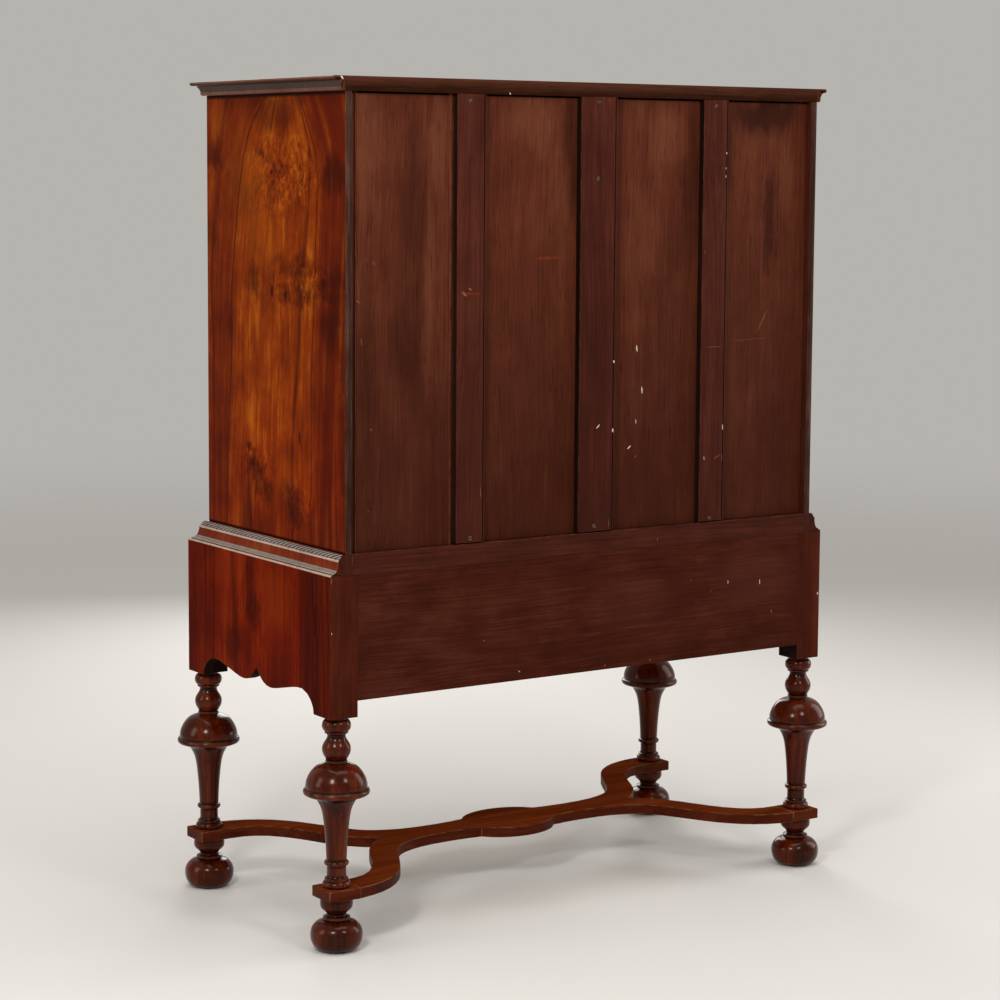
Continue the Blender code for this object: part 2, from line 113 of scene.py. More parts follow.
# Mouldings, bottom to top: a look and a smooth run of (distance out, height), as shares
CORNICE_RUNS = (
    ("bead", ((0.2, 0), (0.3, 0.04), (0.365, 0.12), (0.375, 0.2), (0.35, 0.29))),
    ("cove", ((0.362, 0.305), (0.4, 0.4), (0.45, 0.5), (0.52, 0.6), (0.61, 0.68))),
    ("face", ((0.61, 0.69), (0.8, 0.715))),
    ("face", ((0.8, 0.715), (0.9, 0.74), (0.985, 0.805), (1, 0.86))),
    ("nose", ((1, 0.86), (0.995, 0.92), (0.965, 0.97), (0.87, 1))),
)
WAIST_RUNS = (
    ("nose", ((1, 0), (0.985, 0.045), (0.93, 0.075), (0.855, 0.08))),
    # A recess between two beads, near-black as a painted shadow line
    ("dark", ((0.835, 0.085), (0.835, 0.12))),
    ("nose", ((0.845, 0.124), (0.8, 0.146))),
    ("cove", ((0.8, 0.146), (0.727, 0.165), (0.64, 0.212), (0.58, 0.278))),
    ("face", ((0.58, 0.278), (0.545, 0.34), (0.512, 0.42), (0.48, 0.54), (0.462, 0.672))),
    ("nose", ((0.475, 0.676), (0.48, 0.715), (0.46, 0.755), (0.415, 0.772))),
    ("hatch", ((0.4, 0.774), (0.35, 0.87), (0.265, 0.955), (0.18, 1))),
)

# Veneer features on the chest's ends: (place along Y, height, reach along Y, reach in height, strength)
BURLS = (
    (45, 1335, 185, 105, 1), (110, 1143, 170, 60, 1), (-160, 1365, 60, 50, 0.6), (-55, 820, 60, 50, 0.9),
    (-17, 783, 55, 60, 0.9), (102, 758, 75, 55, 0.9),
)
SMUDGES = (
    (20, 1485, 340, 50, 0.75), (15, 1440, 100, 45, 0.85), (225, 1335, 60, 55, 1), (235, 1165, 65, 35, 1),
    (90, 1122, 100, 35, 0.75), (215, 1135, 70, 28, 0.9), (220, 1075, 65, 60, 1), (-210, 1368, 55, 45, 0.8),
    (-225, 1230, 45, 40, 0.8), (-62, 1150, 40, 35, 0.9), (-50, 795, 45, 65, 0.9), (95, 760, 65, 45, 0.8),
    (-170, 790, 130, 170, 0.4), (20, 690, 340, 110, 0.5), (262, 900, 32, 380, 0.8),
)
PITS = (
    (8, 1129, 9, 14, 1), (57, 1123, 9, 13, 1), (193, 1150, 16, 14, 0.9), (-66, 822, 16, 12, 0.9),
    (107, 879, 6, 20, 0.9), (-30, 1372, 14, 10, 0.8), (105, 1386, 6, 10, 0.7),
)
# Darkest clouds and pale patches there
CLOUDS = (
    (228, 1098, 44, 52, 0.75), (105, 1178, 140, 22, 0.4), (232, 1345, 40, 45, 0.5),
    (-200, 1358, 45, 28, 0.35), (-10, 775, 32, 42, 0.55), (88, 742, 48, 32, 0.45), (-68, 818, 32, 16, 0.45),
)
PATCHES = (
    (-90, 1330, 110, 90, 0.18), (-30, 1240, 130, 110, 0.12), (-190, 1430, 45, 60, 0.2),
    (60, 800, 50, 70, 0.14),
)
# Features on the stand's sides
STAND_BURLS = ((-20, 530, 90, 100, 0.25),)
STAND_SMUDGES = (
    (-25, 620, 24, 65, 0.7), (-18, 560, 30, 60, 0.7), (-70, 490, 90, 50, 0.65), (80, 450, 95, 55, 0.4),
)
STAND_PATCHES = ((-110, 620, 70, 60, 0.22), (67, 592, 95, 85, 0.28))
# The two veins that the ends' grain follows: (height, place along Y)
VEIN_FRONT = (
    (690, -168), (850, -156), (991, -143), (1138, -135), (1231, -118), (1341, -93), (1414, -59), (1475, -5),
)
VEIN_BACK = (
    (690, 142), (850, 150), (1012, 158), (1152, 163), (1270, 166), (1361, 165), (1413, 140), (1475, 100),
)
VEIN_APART = 0.30
VEIN_REACH = 0.35
END_FRONT = -0.25
END_BACK = 0.28
OUTER_WIDTH = 0.09

# Dark patches on the back panels, and pale patches on them, on a back post and on the rail; the pale patches
# are partly painted sheen and a painted highlight:
# (x, height, reach along X, reach in height, strength)
BACK_DARK_PATCHES = (
    (-400, 1452, 120, 55, 0.75), (-412, 1255, 14, 130, 0.65), (-305, 1380, 30, 150, 0.5),
    (-225, 1330, 25, 200, 0.5), (40, 1380, 25, 160, 0.5), (375, 1300, 40, 200, 0.4),
    (380, 1060, 45, 200, 0.4), (465, 1000, 35, 250, 0.35),
)
# Pale patches on the panels: painted sheen on their upper parts, and paler wood
BACK_PALE_AND_SHEEN = (
    (455, 1400, 45, 70, 0.28), (322, 1400, 22, 140, 0.45), (337, 1130, 18, 220, 0.4),
    (130, 1430, 80, 70, 0.3), (60, 1240, 30, 180, 0.3), (-170, 1400, 50, 90, 0.38),
    (-115, 1220, 60, 130, 0.28), (-455, 1330, 35, 110, 0.32),
)
# A painted highlight on the far back post
POST_HIGHLIGHT = ((-552, 540, 40, 180, 0.6),)
# A painted grey sheen on the rail
RAIL_SHEEN = ((-380, 575, 150, 80, 0.4), (-100, 560, 140, 70, 0.2))

# Noise: repeats in a metre across and along the grain, detail, roughness
STIR = (3, 1.3, 2, 0.5)
BROAD = (9, 0.55, 3, 0.55)
STREAK = (60, 1.5, 4, 0.62)
FIBRE = (6, 2, 0.6)  # each wood has its own repeats across
PORES = (750, 17, 1, 0.5)
LINES = (6.5, 0.28, 1, 0.5)
RIPPLE = (7, 42, 2, 0.5)
CLOUDY = (17, 11, 4, 0.6)
RAGGED = (22, 16, 3, 0.6)
CURL = (55, 30, 3, 0.55)
CURLS = (120, 48, 3, 0.6)
LOOSE = (30, 9, 3, 0.6)
BLOTCH = (7, 3, 3, 0.6)
WAVER = (16, 30, 2, 0.5)
RUBBED = (45, 30, 3, 0.7)
TARNISH = (90, 90, 4, 0.6)
POLISH = (900, 900, 2, 0.5)
SPECKLE = (300, 300, 3, 0.6)

# How far noise moves the grain and the rims of features, in metres
STIR_REACH = 0.05
RAGGED_REACH = (0.09, 0.07, 0.0)
CURL_REACH = (0.05, 0.0, 0.05)
LOOSE_REACH = (0.05, 0.0, 0.12)
PIT_REACH = (0.012, 0.012, 0.0)

# Where features of wood show: (from, to), and the amounts there where they are not 0 and 1
PORES_SHOW = (0.60, 0.74)
LINES_SHOW = (0.016, 0.0)
LINES_BREAK = (0.35, 0.6, 0.3, 1.0)
BANDS_BREAK = (0.66, 0.40, 0.55, 1.0)
SMUDGES_BREAK = (0.70, 0.35, 0.50, 1.0)
STROKES_SHOW = (-0.35, 0.25)
RUBS_SHOW = (0.42, 0.62)
CREASE_SHADE_SHOWS = (-0.02, -0.45)
BAND_INNER = 0.03
BAND_OUTER = 0.02
BAND_LINE = (0.0028, 0.0)
GRAIN_HEIGHT = 0.0006

# Beads that face the rails and uprights round the drawers
BEAD_STEPS = 8
BEAD_FILL = 0.94
BEAD_OUT = 0.0032

# Veneered borders, from the edge in: (width, way of the grain, look)
DRAWER_BORDERS = ((0.020, "across", 1), (0.005, "rise", 0), (0.005, "fall", 0))
TOP_BORDERS = ((0.045, "across", 1), (0.007, "rise", 0), (0.007, "fall", 0))
SLANT = math.sqrt(0.5)

# Drawer linings and their dovetails
LINING_T = 0.010
LINING_FLOOR = 0.008
BACK_DROP = 0.006
TAIL_PITCH = 0.036
TAIL_WIDE = 0.011
TAIL_NARROW = 0.007
TAIL_LENGTH = 0.014
TAIL_OUT = 0.0003

# Drop pulls: rose (radius, distance out), staple, drop (radius, height from its pin)
EYE_R = 0.0032
EYE_MID = 0.0025
EYE_ROUND = 0.0008
EYE_HALF = 0.0014
EYE_POINTS = 12
EYE_SIDES = 28
EAR_R = 0.0036
EAR_IN = 0.0018
EAR_OUT = 0.0045
EAR_EDGE = 0.0004
EAR_STEPS = 10
PIN_R = 0.0012
PIN_END = 0.0004
PIN_SIDES = 16
ROSE = (
    (18.2, 0), (18.4, 0.8), (17.4, 1.5), (15.8, 1.3), (14.8, 0.9), (13.6, 1.6), (11.2, 2.5), (8.8, 2.8),
    (7.8, 2.2), (6.6, 3), (4, 3.6), (0, 3.7),
)
ROSE_SIDES = 64
ROSE_LOBES = (10, 0.05)
DROP_RUNS = (
    ((0, -45), (1.2, -44.7), (1.8, -43)),
    ((1.8, -43), (3.2, -41.8), (5.8, -38.8), (7, -33.2), (6, -27.2), (3.6, -19), (2.4, -13), (1.9, -8.5)),
    ((3, -8), (3.4, -6.6), (3, -5.2)),
    ((1.7, -4.8), (1.5, -2.6), (0, -2.4)),
)
DROP_SIDES = 40

# Key plates: the outline's waves and the keyhole's slot, as shares of their radius
KEY_R = 0.0028
KEY_SIZE = 0.021
KEY_SMALL = 0.012
KEY_LIFT = 0.030
HOLE_LIFT = 0.6
PLATE_THICK = 0.0012
PLATE_POINTS = 72
PLATE_WIDE = 0.80
PLATE_BEVEL = 0.95
PLATE_WAVES = (0.10, 0.06)
PLATE_WAIST = 0.20
HOLE_ROUND = 0.75
HOLE_SLOT = 1.7

# Screws in the battens: (x, height, turn of the slot)
SCREWS = (
    (267, 1464, 0.9), (263, 703, 0.2), (-6, 1466.5, 1.4), (-6, 1330, 0.7), (-5, 705, 2.4),
    (-272, 1463.5, 0.5), (-270, 702, 1.9),
)
SCREW_R = 0.0042
SCREW_SEAT = 0.0050
SCREW_SUNK = 0.002
SCREW_PROUD = 0.0006
SCREW_STEPS = 14
SEAT_POINTS = 20
SLOT_ANGLE = math.asin(0.14)

# The panels stop short of the top, the battens short of the strip below
PANEL_SHORT = 0.0025
BATTEN_SHORT = 0.0020

# Quirk along one edge of each batten
QUIRK_IN = 0.0020
QUIRK_WIDE = 0.0022
QUIRK_DEEP = 0.0020

# Beads beside the first batten and the first panel's outer edge
BACK_BEAD = 0.007
BACK_BEAD_OUT = 0.003
BACK_BEAD_AWAY = 0.0063
EDGE_BEAD = 0.0035
EDGE_BEAD_IN = 0.0125


def shaded(colour, share):
    return tuple(share * c for c in colour)


def lit(colour):
    return (*shaded(colour, 0.001), 1.0)


class Value:
    """An output of a material's nodes. Arithmetic on it adds a node and gives that node's output."""

    def __init__(self, graph, socket):
        self.graph, self.socket = graph, socket

    def reckon(self, operation, other=0.0, **settings):
        kind = "Math" if self.socket.type == "VALUE" else "VectorMath"
        return self.graph.node(kind, {0: self, 1: other}, operation=operation, **settings)

    def __add__(self, other):
        return self.reckon("ADD", other)

    def __sub__(self, other):
        return self.reckon("SUBTRACT", other)

    def __mul__(self, other):
        return self.reckon("MULTIPLY", other)

    def __abs__(self):
        return self.reckon("ABSOLUTE")


class Graph:
    """The nodes of one material. Most methods add a node and return its output."""

    def __init__(self, name):
        self.material = bpy.data.materials.new(name)
        self.material.use_nodes = True
        self.tree = self.material.node_tree
        self.shader = self.tree.nodes["Principled BSDF"]

    def put(self, socket, value):
        if isinstance(value, Value):
            self.tree.links.new(value.socket, socket)
        else:
            socket.default_value = value

    def shade(self, inputs):
        for key, value in inputs.items():
            self.put(self.shader.inputs[key], value)
        return self.material

    def node(self, kind, inputs, out=0, **settings):
        made = self.tree.nodes.new("ShaderNode" + kind)
        for key, value in settings.items():
            setattr(made, key, value)
        for key, value in inputs.items():
            self.put(made.inputs[key], value)
        return Value(self, made.outputs[out])

    def attribute(self, name, out="Vector"):
        return self.node("Attribute", {}, out, attribute_name=name)

    def place(self):
        return self.node("TexCoord", {}, "Object")

    def part(self, vector, index):
        return self.node("SeparateXYZ", {0: vector}, index)

    def length(self, vector):
        return self.node("VectorMath", {0: vector}, "Value", operation="LENGTH")

    def noise(self, place, pattern, scale=1.0, out=0):
        across, along, detail, roughness = pattern
        spread = place * (scale * across, scale * along, scale * across)
        inputs = {"Vector": spread, "Scale": 1.0, "Detail": detail, "Roughness": roughness}
        return self.node("TexNoise", inputs, out)

    def drift(self, place, pattern, scale=1.0):
        # a vector that wanders about zero
        return self.noise(place, pattern, scale, 1) - (0.5, 0.5, 0.5)

    def step(self, value, low, high, start=0.0, end=1.0):
        inputs = {"Value": value, "From Min": low, "From Max": high, "To Min": start, "To Max": end}
        return self.node("MapRange", inputs, interpolation_type="SMOOTHSTEP")

    def ramp(self, value, *stops):
        made = self.node("ValToRGB", {0: value})
        points = made.socket.node.color_ramp.elements
        while len(points) < len(stops):
            points.new(0.5)
        for point, (place, colour) in zip(points, stops):
            point.position = place
            point.color = lit(colour)
        return made

    def mix(self, share, below, colour, blend="MIX"):
        inputs = {0: share, 6: below, 7: lit(colour)}
        return self.node("Mix", inputs, 2, data_type="RGBA", blend_type=blend)

    def share(self, value, start, end):
        # how far value has come from start to end, held between 0 and 1
        return (start - value).reckon("DIVIDE", start - end, use_clamp=True)

    def along_curve(self, value, points):
        # a smooth curve through (value, result) points, with results within VEIN_REACH of zero
        points = [(MM * at, 0.5 + 0.5 * MM * result / VEIN_REACH) for at, result in points]
        (low, first), (high, last) = points[0], points[-1]
        at = self.node("MapRange", {"Value": value, "From Min": low, "From Max": high})
        made = self.node("FloatCurve", {"Value": at})
        mapping = made.socket.node.mapping
        knots = mapping.curves[0].points
        knots[0].location, knots[1].location = (0.0, first), (1.0, last)
        for place, result in points[1:-1]:
            knots.new((place - low) / (high - low), result)
        mapping.update()
        return (made - 0.5) * (2.0 * VEIN_REACH)

    def bump(self, height, strength, distance):
        return self.node("Bump", {"Height": height, "Strength": strength, "Distance": distance})

    def spots(self, place, features):
        # the strongest of several soft oval patches
        total = 0.0
        for across, along, wide, tall, strength in features:
            away = (place - (MM * across, MM * along, 0.0)) * (1 / (MM * wide), 1 / (MM * tall), 0.0)
            total = self.step(self.length(away), 1.0, 0.25, 0.0, strength).reckon("MAXIMUM", total)
        return total


def wood(name, deep, mid, bright, rough, specular, figure, vein=0.0, pore=0.5, wear=0.5, worn=(240, 110, 50),
         scale=1.0, fine=380.0, relief=0.25, shine=(1000, 1000, 1000), mottle=0.0, cross=0.0, flow=None,
         burls=(), smudges=(), pits=(), dark_patches=(), pale_and_sheen=(), ledge_shadows=(), bands=None, blush=None, painted_bottom_shade=None,
         strokes=None):
    """Sawn or veneered wood. The grain attribute holds (across, along, through) in metres."""
    g = Graph(name)
    place = course = g.attribute("grain")
    if flow:
        across, along, through = (g.part(place, i) for i in range(3))
        front, back = (g.along_curve(along, points) for points in flow)
        evened = (g.share(across, front, back) - 0.5) * VEIN_APART
        evened += g.share(across, front, END_FRONT) * -OUTER_WIDTH
        evened += g.share(across, back, END_BACK) * OUTER_WIDTH
        course = g.node("CombineXYZ", {0: evened, 1: along, 2: through})
    bent = course + g.drift(place, STIR, scale) * (STIR_REACH / scale, 0.0, STIR_REACH / scale)
    if burls:
        ragged = g.drift(place, RAGGED)
        patch = place + ragged * RAGGED_REACH
        burl = g.spots(patch, burls)
        bent += g.drift(place, CURL) * CURL_REACH * burl
    broad, streak = (g.noise(bent, pattern, scale) for pattern in (BROAD, STREAK))
    fibre = g.noise(bent, (fine, *FIBRE))
    pores = g.step(g.noise(bent, PORES), *PORES_SHOW)
    tone = (broad - 0.5) * figure[0] + (streak - 0.5) * figure[1] + (fibre - 0.5) * figure[2] + 0.5
    if cross:
        tone += (g.noise(bent, RIPPLE) - 0.5) * cross
    if mottle:
        tone += (g.noise(place, CLOUDY) - 0.5) * mottle
    if burls:
        tone += (g.noise(bent, CURLS) - 0.53) * 1.6 * burl
    colour = g.ramp(tone, (0.0, deep), (0.5, mid), (1.0, bright))
    if dark_patches or pale_and_sheen:
        if burls:
            loose = patch
        else:
            loose = g.place() + g.drift(place, LOOSE) * LOOSE_REACH
            loose = g.node("CombineXYZ", {0: g.part(loose, 0), 1: g.part(loose, 2)})
        # Pale patches: paler wood on the veneers; on the back panels partly painted sheen, on a back post a
        # painted highlight, on the rail a painted grey sheen
        colour = g.mix(g.spots(loose, pale_and_sheen), colour, bright)
        colour = g.mix(g.spots(loose, dark_patches), colour, shaded(deep, 0.6))
    line = g.step(abs(g.noise(bent, LINES, scale) - 0.5), *LINES_SHOW) * g.step(streak, *LINES_BREAK)
    colour = g.mix(line * vein, colour, deep)
    if blush:
        low, high, tint = blush
        colour = g.mix(g.step(g.part(place, 1), high, low), colour, tint, "MULTIPLY")
    if bands:
        side = g.part(bent, 0)
        left, right, dark, left_share, right_share = bands
        band = g.step(side, left + BAND_INNER, left - BAND_OUTER, 0.0, left_share)
        other = g.step(side, right - BAND_OUTER, right + BAND_INNER, 0.0, right_share)
        colour = g.mix(band.reckon("MAXIMUM", other) * g.step(streak, *BANDS_BREAK), colour, dark)
        for edge in (left, right):
            colour = g.mix(g.step(abs(side - edge), *BAND_LINE) * 0.75, colour, deep)
    if smudges:
        shade = g.spots(patch, smudges) * g.step(streak, *SMUDGES_BREAK)
        colour = g.mix(shade * 0.88, colour, deep)
    if pits:
        colour = g.mix(g.spots(place + ragged * PIT_REACH, pits) * 0.85, colour, deep)
    # Painted shadow lines along given heights: above the waist moulding and under the cornice
    for level, reach in ledge_shadows:
        near = abs(g.part(place, 1) - level)
        colour = g.mix(g.step(near, reach, 0.3 * reach), colour, shaded(deep, 0.35))
    # Painted shade: darker towards the bottom, with blotches
    if painted_bottom_shade:
        low, high, strength = painted_bottom_shade
        blotch = (g.noise(place, BLOTCH) - 0.5) * 0.9
        shade = g.step(g.part(g.place(), 2), high, low, 0.0, strength)
        colour = g.mix(shade.reckon("ADD", blotch, use_clamp=True), colour, deep)
    colour = g.mix(pores * pore, colour, shaded(deep, 0.35))
    if strokes:
        pitch, lean, strength = strokes
        at = g.part(place, 0) - g.part(place, 1) * lean + g.noise(place, WAVER) * (0.8 * pitch)
        wave = (at * (2 * math.pi / pitch)).reckon("SINE")
        colour = g.mix(g.step(wave, *STROKES_SHOW) * strength, colour, shaded(deep, 0.4))
    rub = g.attribute("wear", "Fac")
    bare = (rub * g.step(g.noise(place, RUBBED), *RUBS_SHOW)).reckon("MULTIPLY", wear, use_clamp=True)
    colour = g.mix(bare, colour, worn)
    # Painted shade: where the wear marks fall below zero, in hollows and creases, the wood is darkened
    colour = g.mix(g.step(rub, *CREASE_SHADE_SHOWS) * 0.9, colour, shaded(deep, 0.3))
    gloss = (streak - 0.5) * (0.6 * rough) + rough
    return g.shade({
        "Base Color": colour, "Roughness": gloss.reckon("ADD", bare * 0.2, use_clamp=True),
        "Normal": g.bump(fibre * 0.4 - pores * 0.6, relief, GRAIN_HEIGHT),
        "Specular IOR Level": specular, "Specular Tint": lit(shine),
    })


def brass(name):
    g = Graph(name)
    place, rub = g.place(), g.attribute("wear", "Fac")
    cloud = g.noise(place, TARNISH)
    colour = g.ramp(cloud, (0.25, (160, 85, 28)), (0.5, (520, 320, 100)), (0.75, (720, 490, 190)))
    colour = g.mix(g.step(rub, 0.0, -1.0) * 0.8, colour, (30, 17, 8))
    colour = g.mix(g.step(rub, 0.0, 1.0) * 0.6, colour, (850, 620, 280))
    return g.shade({
        "Base Color": colour, "Roughness": g.step(cloud, 0.3, 0.7, 0.42, 0.22), "Metallic": 1.0,
        "Normal": g.bump(g.noise(place, POLISH), 0.08, 0.0004),
    })


def plain(name, low, high, rough):
    """A small matt patch, such as a fleck of paint or the painted shade in a keyhole."""
    g = Graph(name)
    cloud = g.noise(g.place(), SPECKLE)
    return g.shade({
        "Base Color": g.ramp(cloud, (0.3, low), (0.7, high)), "Normal": g.bump(cloud, 0.2, 0.0003),
        "Roughness": rough, "Specular IOR Level": 0.05,
    })


DEEP_RED = (80, 5.5, 1)
DARK_RED = (34, 2.2, 0.4)
END_VENEER = wood(
    "end_veneer", (34, 3, 0.6), (200, 26.5, 0.5), (420, 112, 5), 0.34, 0.015, (0.55, 0.5, 0.62), vein=0.8,
    burls=BURLS, smudges=SMUDGES, pits=PITS, flow=(VEIN_FRONT, VEIN_BACK),
    bands=(-0.15, 0.15, DEEP_RED, 0.5, 0.82), wear=0.6, mottle=1.1, fine=170.0,
    ledge_shadows=((0.693, 0.006), (1.475, 0.0085)), pale_and_sheen=PATCHES, dark_patches=CLOUDS,
    blush=(0.72, 1.02, (1000, 720, 400)),
)
STAND_VENEER = wood(
    "stand_veneer", (24, 1.4, 0.2), (134, 7.8, 0.2), (270, 36, 1), 0.34, 0.01, (0.9, 0.3, 0.55), vein=0.7,
    bands=(-0.195, 0.154, DARK_RED, 0.25, 0.92), wear=0.6, mottle=0.7, fine=170.0, burls=STAND_BURLS,
    smudges=STAND_SMUDGES, pale_and_sheen=STAND_PATCHES,
)
FIGURED = wood(
    "figured_walnut", (50, 9, 2), (185, 38, 6), (370, 105, 18), 0.32, 0.15, (1.9, 1.1, 0.6), vein=0.5,
    cross=0.5,
)
CROSS_GRAIN = wood(
    "cross_grain", (22, 4, 1.5), (95, 15, 3), (210, 46, 10), 0.28, 0.2, (1.5, 1.5, 0.7), wear=0.4,
    worn=(220, 100, 60),
)
# The mouldings' looks are lit and shaded copies of one wood: the waist cove and hatch, which face up, are
# pale grey as a painted reflection of light from above, the hatch with cross-grain strokes; the nosings are
# pale as a painted highlight over wear; the cornice face, under its slab, is dark as painted shade, and its
# bead, cove and nose are lighter as painted light
WAIST_FACE = wood(
    "waist_face", (50, 5, 1), (150, 18, 4), (250, 50, 12), 0.3, 0.03, (0.9, 0.9, 0.6), wear=0.3,
    worn=(340, 160, 110),
)
WAIST_COVE = wood(
    "waist_cove", (80, 66, 52), (200, 178, 145), (310, 280, 235), 0.35, 0.2, (0.6, 0.9, 0.6),
    worn=(500, 330, 270), pore=0.3,
)
WAIST_HATCH = wood(
    "waist_hatch", (50, 30, 25), (250, 215, 185), (380, 330, 290), 0.35, 0.15, (0.5, 0.8, 0.5), wear=0.4,
    worn=(420, 300, 260), pore=0.3, strokes=(0.0135, 1.9, 0.92),
)
MOULDING_NOSE = wood(
    "worn_and_lit_nosing", (180, 95, 70), (440, 290, 225), (600, 420, 340), 0.35, 0.2, (0.6, 0.8, 0.5), wear=0.3,
    worn=(620, 440, 360), pore=0.4,
)
CORNICE_FACE = wood(
    "cornice_face", (18, 4, 3), (52, 12, 10), (95, 28, 21), 0.32, 0.06, (0.9, 0.7, 0.5), wear=0.3,
    worn=(200, 90, 50),
)
CORNICE_COVE = wood(
    "cornice_cove", (18, 11, 7), (46, 30, 21), (78, 54, 40), 0.35, 0.06, (0.8, 0.7, 0.5), wear=0.3,
    worn=(200, 100, 70),
)
CORNICE_BEAD = wood(
    "cornice_bead", (46, 16, 10), (115, 42, 28), (200, 90, 66), 0.32, 0.06, (0.9, 0.7, 0.5),
    worn=(330, 150, 100),
)
CORNICE_NOSE = wood(
    "cornice_nose", (50, 20, 10), (135, 60, 31), (220, 110, 62), 0.32, 0.08, (0.9, 0.7, 0.5), wear=0.4,
    worn=(320, 180, 110),
)
BACK_WOOD = wood(
    "back_wood", (31, 6, 2.8), (91, 20.8, 9), (168, 51, 23), 0.55, 0.04, (0.6, 0.4, 0.62), vein=0.3,
    wear=0.55, worn=(170, 85, 50), pore=0.6, painted_bottom_shade=(0.6, 1.45, 0.7), mottle=0.55, dark_patches=BACK_DARK_PATCHES, pale_and_sheen=BACK_PALE_AND_SHEEN,
)
# The rail's palest tone is greyish, so that its pale patches paint a grey sheen
RAIL_WOOD = wood(
    "rail_wood", (22, 4, 1.8), (53, 9.6, 4.2), (90, 24, 14), 0.55, 0.03, (0.7, 0.35, 0.9), vein=0.2,
    wear=0.08, worn=(140, 60, 35), pore=0.3, mottle=0.9, fine=300.0, pale_and_sheen=RAIL_SHEEN,
)
BATTEN_WOOD = wood(
    "batten_wood", (26, 5.2, 2.8), (62, 12.8, 6.8), (105, 26, 14), 0.52, 0.04, (0.9, 0.7, 0.9), vein=0.2,
    wear=0.45, worn=(140, 60, 35), pore=0.4, painted_bottom_shade=(0.6, 1.45, 0.4), mottle=0.7, fine=300.0,
)
STRIP_WOOD = wood(
    "strip_wood", (24, 4.6, 2.5), (52, 11, 5.8), (88, 21, 11), 0.52, 0.04, (0.9, 0.7, 1), vein=0.2,
    wear=0.9, worn=(150, 75, 55), pore=0.4, mottle=0.7, fine=300.0,
)
TOP_EDGE = wood(
    "top_edge", (26, 7.8, 4), (70, 22.5, 12.2), (120, 45, 26), 0.52, 0, (0.9, 0.6, 0.9), vein=0.2,
    wear=0.25, worn=(90, 35, 20), pore=0.4, mottle=0.6,
)
POST_WOOD = wood(
    "post_wood", (26, 4.4, 1.8), (58, 9.6, 3.8), (100, 19, 8), 0.5, 0.03, (0.9, 0.6, 0.9), vein=0.2,
    wear=0.15, worn=(140, 60, 35), pore=0.3, mottle=0.8, pale_and_sheen=POST_HIGHLIGHT,
)
TURNED = wood(
    "turned_wood", (9, 0.8, 0.3), (46, 3.6, 0.4), (136, 17, 2), 0.18, 0.21, (1.6, 1, 0.5), vein=0.3,
    scale=2.2, wear=0.35, worn=(180, 60, 25), relief=0.05, shine=(1000, 800, 640),
)
# The stretcher's top is paler than its sides as painted light from above, and matt as with dust
STRETCHER_WOOD = wood(
    "stretcher_wood", (22, 3, 0.8), (64, 9.5, 2), (115, 22, 5), 0.45, 0.05, (1.4, 1, 0.5), vein=0.3,
    scale=1.5, wear=0.9, worn=(300, 140, 70),
)
STRETCHER_TOP = wood(
    "stretcher_top", (48, 7, 1.6), (125, 22, 5), (200, 44, 11), 0.75, 0, (1.4, 1, 0.5), vein=0.3, scale=1.5,
    wear=0.8, worn=(300, 140, 70),
)
LINING = wood(
    "drawer_lining", (190, 105, 48), (330, 195, 95), (450, 290, 155), 0.62, 0.2, (1.7, 1.2, 0.55), vein=0.3,
    pore=0.35, worn=(420, 290, 170),
)
# A near-black wood, put as painted shade on faces that look inwards or down, on the battens' sides and
# quirks, and on a shadow line in the waist moulding
SHADE_WOOD = wood(
    "painted_shade_wood", (6, 2, 1), (12, 4, 2), (22, 7, 4), 0.7, 0.05, (1.7, 1.2, 0.55), vein=0.2, wear=0.4,
    worn=(100, 50, 30),
)
LIP_WOOD = wood(
    "bare_edge", (12, 5, 3), (42, 17, 11), (105, 55, 40), 0.6, 0.02, (1, 1.3, 0.6), vein=0.3, wear=0.12,
    worn=(150, 70, 40), pore=0.6, mottle=0.8, scale=2.0,
)
BRASS = brass("old_brass")
PAINT = plain("paint_fleck", (400, 340, 270), (620, 560, 470), 0.6)
SCAR = plain("bare_scratch", (130, 36, 18), (260, 90, 45), 0.6)
# Near-black: painted shade in the keyholes and in the screws' seats and slots
HOLE_SHADE = plain("painted_hole_shade", (4, 3, 2), (10, 7, 5), 0.9)
SMEAR = plain("red_smear", (85, 14, 6), (150, 26, 10), 0.6)
IRON = plain("screw_head", (30, 17, 9), (150, 90, 48), 0.5)

